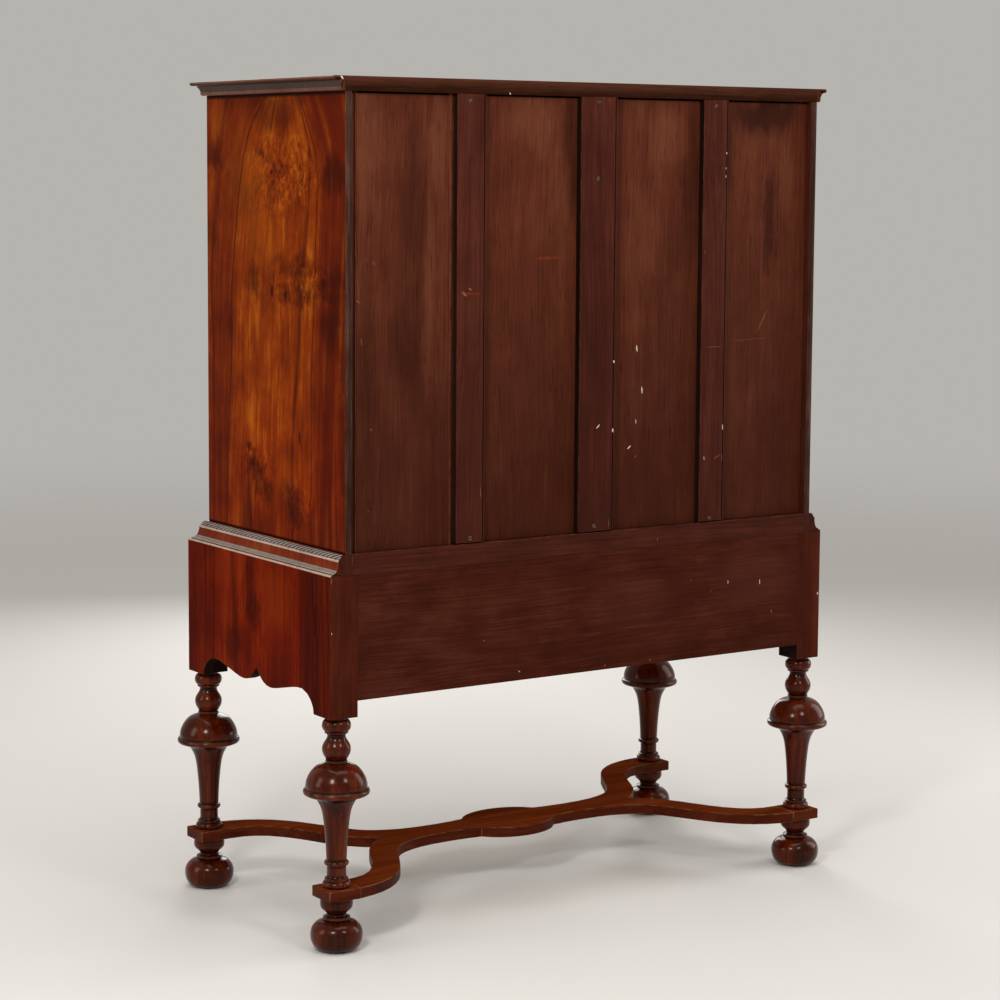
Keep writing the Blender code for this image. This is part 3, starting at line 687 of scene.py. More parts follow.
# Marks on the back: (x, height, length, width, tilt in degrees, look)
MARKS = (
    (-107, 1023, 13, 3.4, 82, PAINT), (-46, 1002, 6, 3, 60, PAINT), (-120, 946, 13, 2.8, 86, PAINT),
    (-12, 886, 10, 3, 135, PAINT), (-45, 877, 8, 4, 80, PAINT), (-107, 889, 9, 1.6, 88, PAINT),
    (-92, 842, 10, 3.2, 145, PAINT), (-107, 825, 6, 2, 140, SCAR), (-299, 870, 12, 2, 88, PAINT),
    (-286, 815, 18, 1.6, 155, SCAR), (-298, 814, 16, 1.6, 88, SCAR), (-256, 814, 8, 1.8, 85, PAINT),
    (-38, 708, 18, 1.4, 88, SCAR), (-395, 570, 12, 2, 88, PAINT), (-318, 576, 7, 1.6, 88, PAINT),
    (-230, 587, 6, 1.4, 80, SCAR), (-425, 510, 7, 3.4, 70, SCAR), (-277, 562, 5, 1.6, 88, SCAR),
    (-150, 670, 9, 1.4, 88, SCAR), (452, 1186, 9, 1.8, 60, SCAR), (484, 1122, 12, 3, 20, SCAR),
    (476, 1053, 14, 1.4, 80, SCAR), (277, 1131, 12, 5, 40, SCAR), (457, 903, 4, 2.2, 80, SCAR),
    (462, 763, 3, 2, 80, SCAR), (241, 782, 22, 1.2, 88, SCAR), (232, 518, 5, 3, 30, SCAR),
    (184, 1477, 5, 2.2, 60, PAINT), (-401, 1065, 50, 2.2, 120, SCAR), (-275, 1021, 46, 1, 179, SCAR),
    (-372, 1031, 98, 0.9, 178, SCAR), (-251, 1196, 8, 1.8, 88, SCAR), (-299, 1378, 5, 2, 80, PAINT),
    (-298, 1350, 4, 1.6, 88, PAINT), (-298, 1335, 5, 1.4, 88, PAINT), (-540, 535, 6, 3, 88, PAINT),
    (-136, 446, 6, 3, 85, SCAR), (-33, 446, 5, 2.2, 80, SCAR), (156, 455, 4, 2, 40, PAINT),
    (521.5, 1496.8, 8.5, 3.4, 40, PAINT), (508.5, 1443, 6, 1.8, 88, PAINT), (508, 1412, 4, 1.6, 85, PAINT),
    (509, 1296, 8, 1.6, 90, SCAR), (507.5, 1120, 6, 1.4, 86, SCAR), (99, 1190, 55, 6, 178, SMEAR),
    (262, 1131, 45, 5, 2, SMEAR), (542.5, 650, 13, 1.8, 86, SCAR), (542, 560, 4, 1.4, 88, PAINT),
    (265, 1139, 10, 4, 35, SCAR),
)
MARK_POINTS = 9
MARK_PROUD = 0.0004
MARK_GROWTH = (0.7, 1.15)

# The axes that lie (across, along, through) the grain, by the axis that it runs along
ORDER = {"x": (1, 0, 2), "y": (0, 1, 2), "z": (1, 2, 0)}
AXES = "xyz"


def middle(low, high):
    return (low + high) / 2


def held(value, low=-1.0):
    return max(low, min(1.0, value))


def angles(count):
    return [2 * math.pi * k / count for k in range(count)]


def raised(flat, axis, height):
    # a point from its places on two axes and its height on the third
    point = list(flat)
    point.insert(axis, height)
    return Vector(point)


def layers(bm):
    grain = bm.loops.layers.float_vector.get("grain") or bm.loops.layers.float_vector.new("grain")
    wear = bm.verts.layers.float.get("wear") or bm.verts.layers.float.new("wear")
    return grain, wear


def new_verts(bm, points, marks):
    """New points in a mesh, each with its mark of wear."""
    wear = layers(bm)[1]
    made = [bm.verts.new(point) for point in points]
    for vert, mark in zip(made, marks):
        vert[wear] = mark
    return made


def set_looks(faces, rule):
    for face in faces:
        face.material_index = int(rule(face))


def anywhere():
    return [draw.uniform(-TREE, TREE) for _ in AXES]


def set_grain(bm, faces, rule):
    grain = layers(bm)[0]
    for face in faces:
        for loop in face.loops:
            loop[grain] = Vector(rule(loop.vert))


def lay_grain(bm, run, offset=None, faces=None):
    """Sets the grain to run along one axis. Without an offset, each call gives another part of the tree."""
    order, offset = ORDER[run], offset or anywhere()
    set_grain(bm, faces or bm.faces, lambda vert: [vert.co[i] + shift for i, shift in zip(order, offset)])


def soften(bm, width):
    """Rounds the sharp edges and marks the middle of each rounding as worn."""
    wear = layers(bm)[1]
    bmesh.ops.recalc_face_normals(bm, faces=bm.faces)
    edges = [e for e in bm.edges if e.is_manifold and e.calc_face_angle() > CREASE]
    made = bmesh.ops.bevel(
        bm, geom=edges, offset=width, segments=2, profile=0.5, affect="EDGES", clamp_overlap=True
    )
    strips = set(made["faces"])
    for v in made["verts"]:
        v[wear] = float(all(f in strips for f in v.link_faces))


def node_mesh(node):
    """A copy of a node's mesh, welded, with each flat face whole."""
    bm = bmesh.new()
    bm.from_mesh(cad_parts[node].data)
    bmesh.ops.remove_doubles(bm, verts=bm.verts, dist=WELD)
    bmesh.ops.dissolve_limit(bm, angle_limit=FLAT, verts=bm.verts, edges=bm.edges)
    return bm


def cut(bm, at, way, clear=False):
    """Cuts a mesh along a plane, and with clear takes off what lies beyond. Returns what the cut made."""
    geom = [*bm.verts, *bm.edges, *bm.faces]
    made = bmesh.ops.bisect_plane(bm, geom=geom, dist=WELD, plane_co=at, plane_no=way, clear_outer=clear)
    return made["geom_cut"]


def bridge(bm, a, b):
    """Faces between two rings of as many points."""
    return [bm.faces.new(corners) for corners in zip(a, a[1:] + a[:1], b[1:] + b[:1], b)]


def loft(bm, rows):
    """A solid between two outlines: its sides, then its ends."""
    return bridge(bm, *rows), [bm.faces.new(row) for row in rows]


def prism(bm, outline, axis, low, high):
    """A solid with an outline in the two other axes."""
    rows = [[bm.verts.new(raised(flat, axis, height)) for flat in outline] for height in (low, high)]
    return loft(bm, rows)


def board(low, high, run, edge=EDGE, offset=None):
    bm = bmesh.new()
    (x0, y0, z0), (x1, y1, z1) = low, high
    prism(bm, ((x0, y0), (x1, y0), (x1, y1), (x0, y1)), 2, z0, z1)
    soften(bm, edge)
    lay_grain(bm, run, offset)
    return bm


def merged(first, *others):
    # several bmeshes as one
    for other in others:
        mesh = bpy.data.meshes.new("part")
        other.to_mesh(mesh)
        other.free()
        first.from_mesh(mesh)
        bpy.data.meshes.remove(mesh)
    return first


def linked(name, data):
    obj = bpy.data.objects.new(name, data)
    bpy.context.scene.collection.objects.link(obj)
    return obj


def meshed(name, bm, looks):
    mesh = bpy.data.meshes.new(name)
    bm.to_mesh(mesh)
    bm.free()
    mesh.shade_smooth()
    for look in looks if isinstance(looks, (list, tuple)) else (looks,):
        mesh.materials.append(look)
    return linked(name, mesh)


def even_normals(obj):
    obj.modifiers.new("normals", "WEIGHTED_NORMAL").keep_sharp = True


def show(name, bm, looks, slot, *nodes, body="cabinet", turned=False):
    """Makes a piece of the object: it rides the body and stands for the nodes."""
    bmesh.ops.recalc_face_normals(bm, faces=bm.faces)
    obj = meshed(name, bm, looks)
    if turned:
        obj.data.set_sharp_from_angle(angle=TURN_SHARP)
    else:
        even_normals(obj)
    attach(obj, body)
    if nodes:
        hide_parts(*nodes)
    return obj


def curve(points):
    """A smooth run through the points."""
    if len(points) < 3:
        return points
    ends = [points[0], *points, points[-1]]
    made = []
    for i in range(len(points) - 1):
        p0, p1, p2, p3 = (Vector(q) for q in ends[i:i + 4])
        for k in range(SMOOTH_STEPS):
            t = k / SMOOTH_STEPS
            q = 2 * p1 + (p2 - p0) * t + (2 * p0 - 5 * p1 + 4 * p2 - p3) * t ** 2
            made.append(0.5 * (q + (3 * p1 - p0 - 3 * p2 + p3) * t ** 3))
    return made + [points[-1]]


def joined(runs, wide=MM, high=MM):
    """One profile from smooth runs, with a corner wherever two meet, and the number of each point's run."""
    profile, owners = [], []
    for number, run in enumerate(runs):
        points = [(wide * a, high * b) for a, b in curve(run)]
        if profile and math.dist(profile[-1], points[0]) < WELD:
            points = points[1:]
        profile += points
        owners += [number] * len(points)
    return profile, owners


def bends(profile):
    """How far each point of a profile stands out, from -1 for a tight hollow to 1 for a sharp ridge."""
    found = [0.0] * len(profile)
    for i in range(1, len(profile) - 1):
        a = Vector(profile[i]) - Vector(profile[i - 1])
        b = Vector(profile[i + 1]) - Vector(profile[i])
        if a.length > 0 and b.length > 0:
            found[i] = held(a.angle_signed(b) / -FULL_BEND)
    return found


def divided(profile, reach):
    """The profile with more points near the ends of its long straight lengths."""
    made = [profile[0]]
    for p, q in zip(profile, profile[1:]):
        length = math.dist(p, q)
        if length > 3 * reach:
            for at in (0.5 * reach, 1.2 * reach, length - 1.2 * reach, length - 0.5 * reach):
                made.append(tuple(Vector(p).lerp(Vector(q), at / length)))
        made.append(q)
    return made


def girths(profile):
    """The length of a profile up to each of its points."""
    found = [0.0]
    for p, q in zip(profile, profile[1:]):
        found.append(found[-1] + math.dist(p, q))
    return found


def creases(profile, reach):
    """How far each point stands out of its surroundings, from -1 in a crease to 1 on a ridge."""
    girth = girths(profile)

    def at(s):
        k = max(1, min(len(girth) - 1, bisect.bisect_left(girth, s)))
        span = girth[k] - girth[k - 1]
        share = held((s - girth[k - 1]) / span if span else 0.0, 0.0)
        return Vector(profile[k - 1]).lerp(Vector(profile[k]), share)

    found = []
    for p, s in zip(profile, girth):
        before, after = at(s - reach), at(s + reach)
        chord = after - before
        away = Vector(p) - (before + after) / 2
        out = (away.x * chord.y - away.y * chord.x) / chord.length
        found.append(held(out / (CREASE_SHADE_SHARE * reach)))
    return found


def lathe(profile, sides=TURN_SIDES, centre=ORIGIN, axis=2, closed=False, lobes=(0, 0.0), crease=0.0):
    """Turns a profile of (radius, height) round an axis through the centre. Lobes are (number, swell)."""
    bm = bmesh.new()
    widest = max(r for r, h in profile)
    if crease:
        profile = divided(profile, crease)
    rings = []
    for (r, h), mark in zip(profile, creases(profile, crease) if crease else bends(profile)):
        points = []
        for a in angles(sides if r > WELD else 1):
            out = r * (1.0 + lobes[1] * math.cos(lobes[0] * a) * (r / widest) ** 3)
            points.append(Vector(centre) + raised((out * math.cos(a), out * math.sin(a)), axis, h))
        rings.append(new_verts(bm, points, [mark] * len(points)))
    for low, high in zip(rings, rings[1:] + rings[:1] if closed else rings[1:]):
        for k in range(sides):
            n = (k + 1) % sides
            corners = (low[k % len(low)], low[n % len(low)], high[n % len(high)], high[k % len(high)])
            corners = list(dict.fromkeys(corners))
            if len(corners) > 2:
                bm.faces.new(corners)
    for ring in () if closed else (rings[0], rings[-1]):
        if len(ring) > 2:
            bm.faces.new(ring)
    return bm


# Levels and planes of the frame
stretcher_low, stretcher_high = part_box("stretcher")
apron_low, apron_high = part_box("stand_side_right")
side_low, side_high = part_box("chest_side_right")
top_low, top_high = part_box("chest_top")
CHEST_FRONT = side_low.y
STAND_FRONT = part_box("stand_top_rail")[0].y
BACK = side_high.y
WAIST_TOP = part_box("chest_base_rail")[1].z
PANEL_FRONT, PANEL_BACK = (point.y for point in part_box("back_panel_1"))


def square(x, y, half, low, high):
    return (x - half, y - half, low), (x + half, y + half, high)


def post_look(normal, spot):
    """1 on the stand's side, 2 on its front or back, 3 where the post looks in or down, which takes painted
    shade.
    """
    if abs(normal.y) > 0.7 and normal.y * spot.y > 0:
        return 2
    inward = min(normal.x * spot.x, normal.y * spot.y) < -0.6 * min(abs(spot.x), abs(spot.y))
    return 3 if inward or normal.z < -0.7 else 1


# Legs and feet: a turned shaft under a square post, its faces in line with the stand's sides
leg_profile = [(r, stretcher_high.z + h) for r, h in joined(LEG_RUNS)[0]]
foot_profile = joined(FOOT_RUNS)[0]
corner = middle(*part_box("leg_back_right"))
post_half = BACK - corner.y
plate_half = stretcher_high.x - corner.x
for fb in ("front", "back"):
    for lr, _ in SIDES:
        spot = middle(*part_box(f"leg_{fb}_{lr}"))
        leg = lathe(leg_profile, centre=(spot.x, spot.y, 0.0), crease=CREASE_SHADE_REACH)
        lay_grain(leg, "z")
        post = board(*square(spot.x, spot.y, post_half, apron_low.z, apron_high.z), "z", FINE_EDGE, ORIGIN)
        set_looks(post.faces, lambda face: post_look(face.normal, spot))
        looks = (TURNED, STAND_VENEER, POST_WOOD if fb == "back" else FIGURED, SHADE_WOOD)
        name = f"leg_{fb}_{lr}"
        even_normals(show(f"{name}_fine", merged(leg, post), looks, "turned_wood", name, turned=True))
        foot = lathe(foot_profile, centre=(spot.x, spot.y, 0.0), crease=CREASE_SHADE_REACH)
        lay_grain(foot, "z")
        show(f"foot_{fb}_{lr}_fine", foot, TURNED, "turned_wood", f"foot_{fb}_{lr}", turned=True)


def show_flat(name, bm, *nodes):
    # Faces that look up take the paler top, as painted light from above
    set_looks(bm.faces, lambda face: face.normal.z > 0.9)
    show(name, bm, (STRETCHER_WOOD, STRETCHER_TOP), "turned_wood", *nodes)


# Stretcher: the flat shaped cross, and a square plate at each leg
cross = node_mesh("stretcher")
for side in (-1, 1):
    rim = cut(cross, (side * (corner.x - plate_half - GAP), 0, 0), (side, 0, 0), clear=True)
    bmesh.ops.edgenet_fill(cross, edges=[e for e in rim if isinstance(e, bmesh.types.BMEdge)])
soften(cross, EDGE)
lay_grain(cross, "x")
show_flat("stretcher_cross", cross, "stretcher")
for fb, sy in (("front", -1), ("back", 1)):
    for lr, sx in SIDES:
        ends = square(sx * corner.x, sy * corner.y, plate_half, stretcher_low.z, stretcher_high.z)
        show_flat(f"stretcher_plate_{fb}_{lr}", board(*ends, "x"))


def carved(node, word, look, run, slot, other=None, edge=FINE_EDGE, offset=None, way=FORWARD):
    """Its node's own shape with softened edges. Faces that do not look along way take the other look."""
    bm = node_mesh(node)
    soften(bm, edge)
    lay_grain(bm, run, offset)
    set_looks(bm.faces, lambda face: not other or face.normal.dot(Vector(way)) < 0.5)
    show(f"{node}_{word}", bm, (look, other or look), slot, node)


# Stand: shaped sides and front, rails, dust board
# Faces of the stand's sides and apron that do not look out take the near-black wood, as painted shade
for lr, sx in SIDES:
    carved(f"stand_side_{lr}", "veneer", STAND_VENEER, "z", "walnut_veneer", SHADE_WOOD,
           offset=ORIGIN, way=(sx, 0, 0))
carved("stand_front_apron", "veneer", FIGURED, "z", "walnut_veneer", SHADE_WOOD)
carved("stand_top_rail", "veneer", CROSS_GRAIN, "z", "walnut_veneer")
carved("stand_back_rail", "board", RAIL_WOOD, "x", "back_wood")
carved("stand_dust_board", "lining", CROSS_GRAIN, "x", "drawer_wood", LINING, EDGE)

# Chest: sides, bottom, the plain strip at the back, dust boards, battens, panels, front rail and partition
for lr, sx in SIDES:
    bm = node_mesh(f"chest_side_{lr}")
    soften(bm, FINE_EDGE)
    cut(bm, (0, 0, WAIST_TOP), (0, 0, 1))
    lay_grain(bm, "z", ORIGIN)
    for face in bm.faces:
        centre = face.calc_center_median()
        if face.normal.x * sx < -0.5:
            face.material_index = 1 if centre.y < PANEL_FRONT else 2
        elif face.normal.y > 0.5:
            face.material_index = 3 if centre.z > WAIST_TOP else 4
    looks = (END_VENEER, LINING, BATTEN_WOOD, LIP_WOOD, BATTEN_WOOD)
    show(f"chest_side_{lr}_veneer", bm, looks, "walnut_veneer", f"chest_side_{lr}")
carved("chest_bottom", "board", CROSS_GRAIN, "x", "drawer_wood", LINING, EDGE)
carved("chest_base_rail", "board", STRIP_WOOD, "x", "back_wood")
for i in (1, 2, 3):
    carved(f"dust_board_{i}", "lining", CROSS_GRAIN, "x", "drawer_wood", LINING)
    bm = node_mesh(f"back_batten_{i}")
    front_x = min(v.co.x for v in bm.verts if BACK - v.co.y < WELD)
    foot = min(v.co.z for v in bm.verts)
    for v in bm.verts:
        if v.co.z - foot < WELD:
            v.co.z += BATTEN_SHORT
    soften(bm, EDGE)
    slit = (front_x + QUIRK_IN, front_x + QUIRK_IN + QUIRK_WIDE)
    for x in slit:
        cut(bm, (x, 0, 0), (1, 0, 0))
    sunk = [f for f in bm.faces if f.normal.y > 0.9 and slit[0] < f.calc_center_median().x < slit[1]
            and BACK - f.calc_center_median().y < WELD]
    for v in bmesh.ops.extrude_face_region(bm, geom=sunk)["geom"]:
        if isinstance(v, bmesh.types.BMVert):
            v.co.y -= QUIRK_DEEP
    bmesh.ops.delete(bm, geom=sunk, context="FACES_ONLY")
    bm.normal_update()
    lay_grain(bm, "z")
    # The battens' side faces and their quirks take the near-black wood, as painted shade
    set_looks(bm.faces, lambda face: abs(face.normal.x) > 0.7 or (
        face.normal.y > 0.7 and BACK - face.calc_center_median().y > QUIRK_DEEP / 4))
    show(f"back_batten_{i}_board", bm, (BATTEN_WOOD, SHADE_WOOD), "back_wood", f"back_batten_{i}")
for i in (1, 2, 3, 4):
    bm = node_mesh(f"back_panel_{i}")
    upper = max(v.co.z for v in bm.verts)
    for v in bm.verts:
        if upper - v.co.z < WELD:
            v.co.z -= PANEL_SHORT
    soften(bm, EDGE)
    lay_grain(bm, "z")
    show(f"back_panel_{i}_board", bm, BACK_WOOD, "back_wood", f"back_panel_{i}")
for node in ("chest_top_rail", "drawer_partition"):
    carved(node, "veneer", CROSS_GRAIN, "z", "walnut_veneer")


def moulding(node, runs, looks, size, start, end, edge, axis, sign):
    """A length of moulding. Each end is (place, growth with the distance out). Its grain runs across it."""
    kinds = list(looks)
    base, height, out = size
    profile, owners = joined([run for _, run in runs], out, height)
    marks = [0.0, *bends(profile), 0.0]
    profile = [(0.0, 0.0), *profile, (0.0, height)]
    bm = bmesh.new()
    rows = []
    for place, grow in (start, end):
        points = [(place + grow * o, edge + sign * o, base + z) for o, z in profile]
        rows.append(new_verts(bm, [(b, a, z) if axis else (a, b, z) for a, b, z in points], marks))
    faces, caps = loft(bm, rows)
    for face, owner in zip(faces, owners):
        face.material_index = kinds.index(runs[owner][0])
    set_looks(caps, lambda face: kinds.index("end"))
    offset = draw.uniform(-TREE, TREE)
    lookup = {vert: girth for row in rows for vert, girth in zip(row, girths(profile))}
    set_grain(bm, bm.faces, lambda vert: (vert.co[axis] + offset, lookup[vert], vert.co[1 - axis]))
    show(f"{node}_strip", bm, list(looks.values()), "walnut_veneer", node, turned=True)


# The dark run takes the near-black wood, as a painted shadow line
WAIST_LOOKS = {
    "face": WAIST_FACE, "cove": WAIST_COVE, "hatch": WAIST_HATCH, "nose": MOULDING_NOSE, "dark": SHADE_WOOD,
    "end": BATTEN_WOOD,
}
CORNICE_LOOKS = {
    "face": CORNICE_FACE, "cove": CORNICE_COVE, "bead": CORNICE_BEAD, "nose": CORNICE_NOSE, "end": TOP_EDGE,
}
half = side_high.x
MOULDINGS = (("waist_moulding", WAIST_RUNS, WAIST_LOOKS), ("cornice", CORNICE_RUNS, CORNICE_LOOKS))
for label, runs, looks in MOULDINGS:
    low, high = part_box(f"{label}_right")
    size = (low.z, high.z - low.z, high.x - half)
    moulding(f"{label}_front", runs, looks, size, (-half, -1), (half, 1), CHEST_FRONT, 0, -1)
    for lr, sx in SIDES:
        moulding(f"{label}_{lr}", runs, looks, size, (CHEST_FRONT, -1), (BACK, 0), sx * half, 1, sx)


def half_round(bm, start, end, width, out, base, across, run):
    """A half-round bead on a plane that faces -Y or +Y. across is the axis of its width."""
    marks = [float(k == BEAD_STEPS // 2) for k in range(BEAD_STEPS + 1)]
    rows = []
    for at in (start, end):
        points = []
        for k in range(BEAD_STEPS + 1):
            a = math.pi * k / BEAD_STEPS
            p = list(at)
            p[across] += width / 2 * math.cos(a)
            p[1] = base + out * math.sin(a)
            points.append(p)
        rows.append(new_verts(bm, points, marks))
    faces, caps = loft(bm, rows)
    lay_grain(bm, run, None, faces + caps)


def beads(name, count, across, low, high):
    """Half-round beads, side by side, that face a rail's or upright's front edge."""
    bm = bmesh.new()
    width = (high[across] - low[across]) / count
    for i in range(count):
        start, end = list(low), list(high)
        start[across] = end[across] = low[across] + width * (i + 0.5)
        half_round(bm, start, end, width * BEAD_FILL, -BEAD_OUT, CHEST_FRONT, across, AXES[across])
    show(name, bm, CROSS_GRAIN, "walnut_veneer", turned=True)


def veneered(low, high, axis, side, borders, leaves):
    """A board with one veneered face: borders from its edge in, round matched leaves."""
    u, v = (i for i in range(3) if i != axis)
    bm = bmesh.new()
    offset = anywhere()

    def ring(inset, depth, rub=0.0):
        (u0, v0), (u1, v1) = (low[u] + inset, low[v] + inset), (high[u] - inset, high[v] - inset)
        level = (high if side > 0 else low)[axis] - side * depth
        points = [raised(flat, axis, level) for flat in ((u0, v0), (u1, v0), (u1, v1), (u0, v1))]
        return new_verts(bm, points, [rub] * len(points))

    def veneer(face, look, way):
        face.material_index = look
        set_grain(bm, [face], lambda vert: Vector((*way(vert.co[u], vert.co[v]), 0.0)) + Vector(offset))

    back, rim = ring(0.0, high[axis] - low[axis]), ring(0.0, FINE_EDGE)
    worn, last = ring(WORN_SHARE * FINE_EDGE, WORN_SHARE * FINE_EDGE, 1.0), ring(FINE_EDGE, 0.0)
    solid = [bm.faces.new(back), *bridge(bm, back, rim), *bridge(bm, rim, worn), *bridge(bm, worn, last)]
    lay_grain(bm, AXES[u], None, solid)
    set_looks(solid, lambda face: 2)
    inset = FINE_EDGE
    for width, way, look in borders:
        inset += width
        following = ring(inset, 0.0)
        for k, face in enumerate(bridge(bm, last, following)):
            if way == "across":
                veneer(face, look, lambda a, b: (b, a) if k % 2 else (a, b))
            else:
                turn = 1 if (way == "rise") == (k % 2 == 0) else -1
                veneer(face, look, lambda a, b: (SLANT * (a - turn * b), SLANT * (turn * a + b)))
        last = following
    step = (high[u] - low[u] - 2 * inset) / leaves
    lower, upper = [last[0]], [last[3]]
    for row, end in ((lower, last[1]), (upper, last[2])):
        for left in range(leaves, 1, -1):
            row.append(bmesh.utils.edge_split(bm.edges.get((row[-1], end)), row[-1], 1 / left)[1])
        row.append(end)
    for i in range(leaves):
        face = bm.faces.new((lower[i], lower[i + 1], upper[i + 1], upper[i]))
        joint = low[u] + inset + step * (i + i % 2)
        veneer(face, 0, lambda a, b: (abs(a - joint), b))
    return bm


# Top, veneered above with a banded border
top = veneered(top_low, top_high, 2, 1, TOP_BORDERS, 2)
show("chest_top_board", top, (FIGURED, CROSS_GRAIN, TOP_EDGE), "walnut_veneer", "chest_top")

# Beads round the drawers
for i in (1, 2, 3):
    beads(f"dust_board_{i}_beads", 2, 2, *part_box(f"dust_board_{i}"))
beads("chest_top_rail_bead", 1, 2, *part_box("chest_top_rail"))
beads("drawer_partition_beads", 2, 0, *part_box("drawer_partition"))
for lr, _ in SIDES:
    low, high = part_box(f"chest_side_{lr}")
    low.z, high.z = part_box("waist_moulding_front")[1].z, top_low.z
    beads(f"chest_side_{lr}_beads", 2, 0, low, high)


def pull(name, node, body, plane):
    """A drop on its staple, in front of a rose. The drop rides its own body."""
    low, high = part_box(node)
    pin = middle(low, high)
    pin.z = high.z - EYE_R
    rose = [(MM * r, plane - MM * out) for r, out in ROSE]
    rose = lathe(rose, ROSE_SIDES, (pin.x, 0.0, pin.z), 1, lobes=ROSE_LOBES)
    show(f"{name}_rose", rose, BRASS, "brass", body=body, turned=True)
    staple = bmesh.new()
    for side in (-1, 1):
        edge = [(plane, pin.z - EAR_R), (plane, pin.z + EAR_R)]
        for k in range(EAR_STEPS + 1):
            a = math.pi * (0.5 + k / EAR_STEPS)
            edge.append((pin.y + EAR_R * math.cos(a), pin.z + EAR_R * math.sin(a)))
        prism(staple, edge, 0, *sorted((pin.x + side * EAR_IN, pin.x + side * EAR_OUT)))
    soften(staple, EAR_EDGE)
    tip = EAR_OUT + PIN_END
    rod = lathe([(0.0, -tip), (PIN_R, -EAR_OUT), (PIN_R, EAR_OUT), (0.0, tip)], PIN_SIDES, pin, 0)
    show(f"{name}_staple", merged(staple, rod), BRASS, "brass", body=body)
    drop = lathe(joined(DROP_RUNS)[0], DROP_SIDES, pin)
    hoop = [(EYE_MID + EYE_ROUND * math.cos(a), EYE_HALF * math.sin(a)) for a in angles(EYE_POINTS)]
    eye = lathe(hoop, EYE_SIDES, pin, 0, closed=True)
    show(f"{name}_drop", merged(drop, eye), BRASS, "brass", node, body=node, turned=True)


def key_plate(name, x, z, size, body, plane):
    """A shaped plate with a keyhole through it, and a near-black face behind it as painted shade in the hole.
    """

    def rim(a):
        waves = 1 + PLATE_WAVES[0] * math.cos(4 * a) + PLATE_WAVES[1] * math.cos(8 * a)
        return size * waves * (1 - PLATE_WAIST + PLATE_WAIST * abs(math.sin(a)))

    def hole(a):
        return KEY_R * (HOLE_ROUND + HOLE_SLOT * max(0.0, -math.sin(a)) ** 6)

    bm = bmesh.new()
    rings = []
    for radius, share, wide, lift, depth in (
        (rim, 1.0, PLATE_WIDE, 0.0, 0.0), (rim, 1.0, PLATE_WIDE, 0.0, PLATE_THICK * 0.7),
        (rim, PLATE_BEVEL, PLATE_WIDE, 0.0, PLATE_THICK),
        (hole, 1.0, 1.0, HOLE_LIFT * KEY_R, PLATE_THICK), (hole, 1.0, 1.0, HOLE_LIFT * KEY_R, GAP / 3),
    ):
        ring = []
        for a in angles(PLATE_POINTS):
            r = share * radius(a)
            ring.append(bm.verts.new((x + wide * r * math.cos(a), plane - depth, z + lift + r * math.sin(a))))
        rings.append(ring)
    for a, b in zip(rings, rings[1:]):
        bridge(bm, a, b)
    bm.faces.new(rings[0])
    bm.faces.new(rings[-1]).material_index = 1
    show(name, bm, (BRASS, HOLE_SHADE), "brass", body=body, turned=True)


def drawer(name, plane, leaves, drops):
    low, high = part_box(f"{name}_front")
    low.y = plane
    front = veneered(low, high, 1, -1, DRAWER_BORDERS, leaves)
    looks = (FIGURED, CROSS_GRAIN, LINING)
    show(f"{name}_front_veneer", front, looks, "walnut_veneer", f"{name}_front", body=name)
    low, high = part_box(f"{name}_box")
    left, right, rear = low.x + LINING_T, high.x - LINING_T, high.y - LINING_T
    tray = merged(
        board(low, (left, high.y, high.z), "y"),
        board((right, low.y, low.z), high, "y"),
        board((left, rear, low.z), (right, high.y, high.z - BACK_DROP), "x"),
        board((left, low.y, low.z), (right, rear, low.z + LINING_FLOOR), "x", FINE_EDGE),
    )
    show(f"{name}_lining", tray, LINING, "drawer_wood", f"{name}_box", body=name)
    tails = bmesh.new()
    count = max(2, round((high.z - low.z) / TAIL_PITCH))
    pitch = (high.z - low.z) / count
    near, far = TAIL_NARROW / 2, TAIL_WIDE / 2
    y0, y1 = low.y + GAP, low.y + TAIL_LENGTH
    for x in (low.x, high.x):
        for i in range(count):
            mid = low.z + pitch * (i + 0.5)
            edge = [(y0, mid - far), (y1, mid - near), (y1, mid + near), (y0, mid + far)]
            prism(tails, edge, 0, x - TAIL_OUT, x + TAIL_OUT)
    lay_grain(tails, "x")
    show(f"{name}_dovetails", tails, STRETCHER_WOOD, "drawer_wood", body=name, turned=True)
    for tag in drops:
        pull(f"{name}{tag}_pull", f"{name}_drop{tag}", name, plane)


# Each drawer, with leaves of veneer, drops, and a key plate between the drops or over a single one
LONG = (4, ("_left", "_right"), 0.0, KEY_SIZE)
SHORT = (2, ("",), KEY_LIFT, KEY_SMALL)
for kind in ("long_1", "long_2", "long_3", "short_left", "short_right", "stand"):
    name = f"drawer_{kind}"
    plane = STAND_FRONT if kind == "stand" else CHEST_FRONT
    leaves, drops, lift, size = SHORT if "short" in kind else LONG
    drawer(name, plane, leaves, drops)
    pin_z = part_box(f"{name}_drop{drops[0]}")[1].z
    key_plate(f"{name}_key_plate", middle(*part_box(f"{name}_front")).x, pin_z + lift, size, name, plane)

# Back: slotted screws, two beads, flecks of paint, scratches and smears
BATTENS = [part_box(f"back_batten_{i}") for i in (1, 2, 3)]


def surface(x, z):
    """How far back the surface lies at a place on the back."""
    on_batten = any(low.x <= x <= high.x for low, high in BATTENS)
    return BACK if z < WAIST_TOP or z > top_low.z or on_batten else PANEL_BACK


def turned_by(angle, x, z, flat):
    # flat points, turned about the origin and moved to a place on the back
    c, s = math.cos(angle), math.sin(angle)
    return [(x + c * p - s * q, z + s * p + c * q) for p, q in flat]


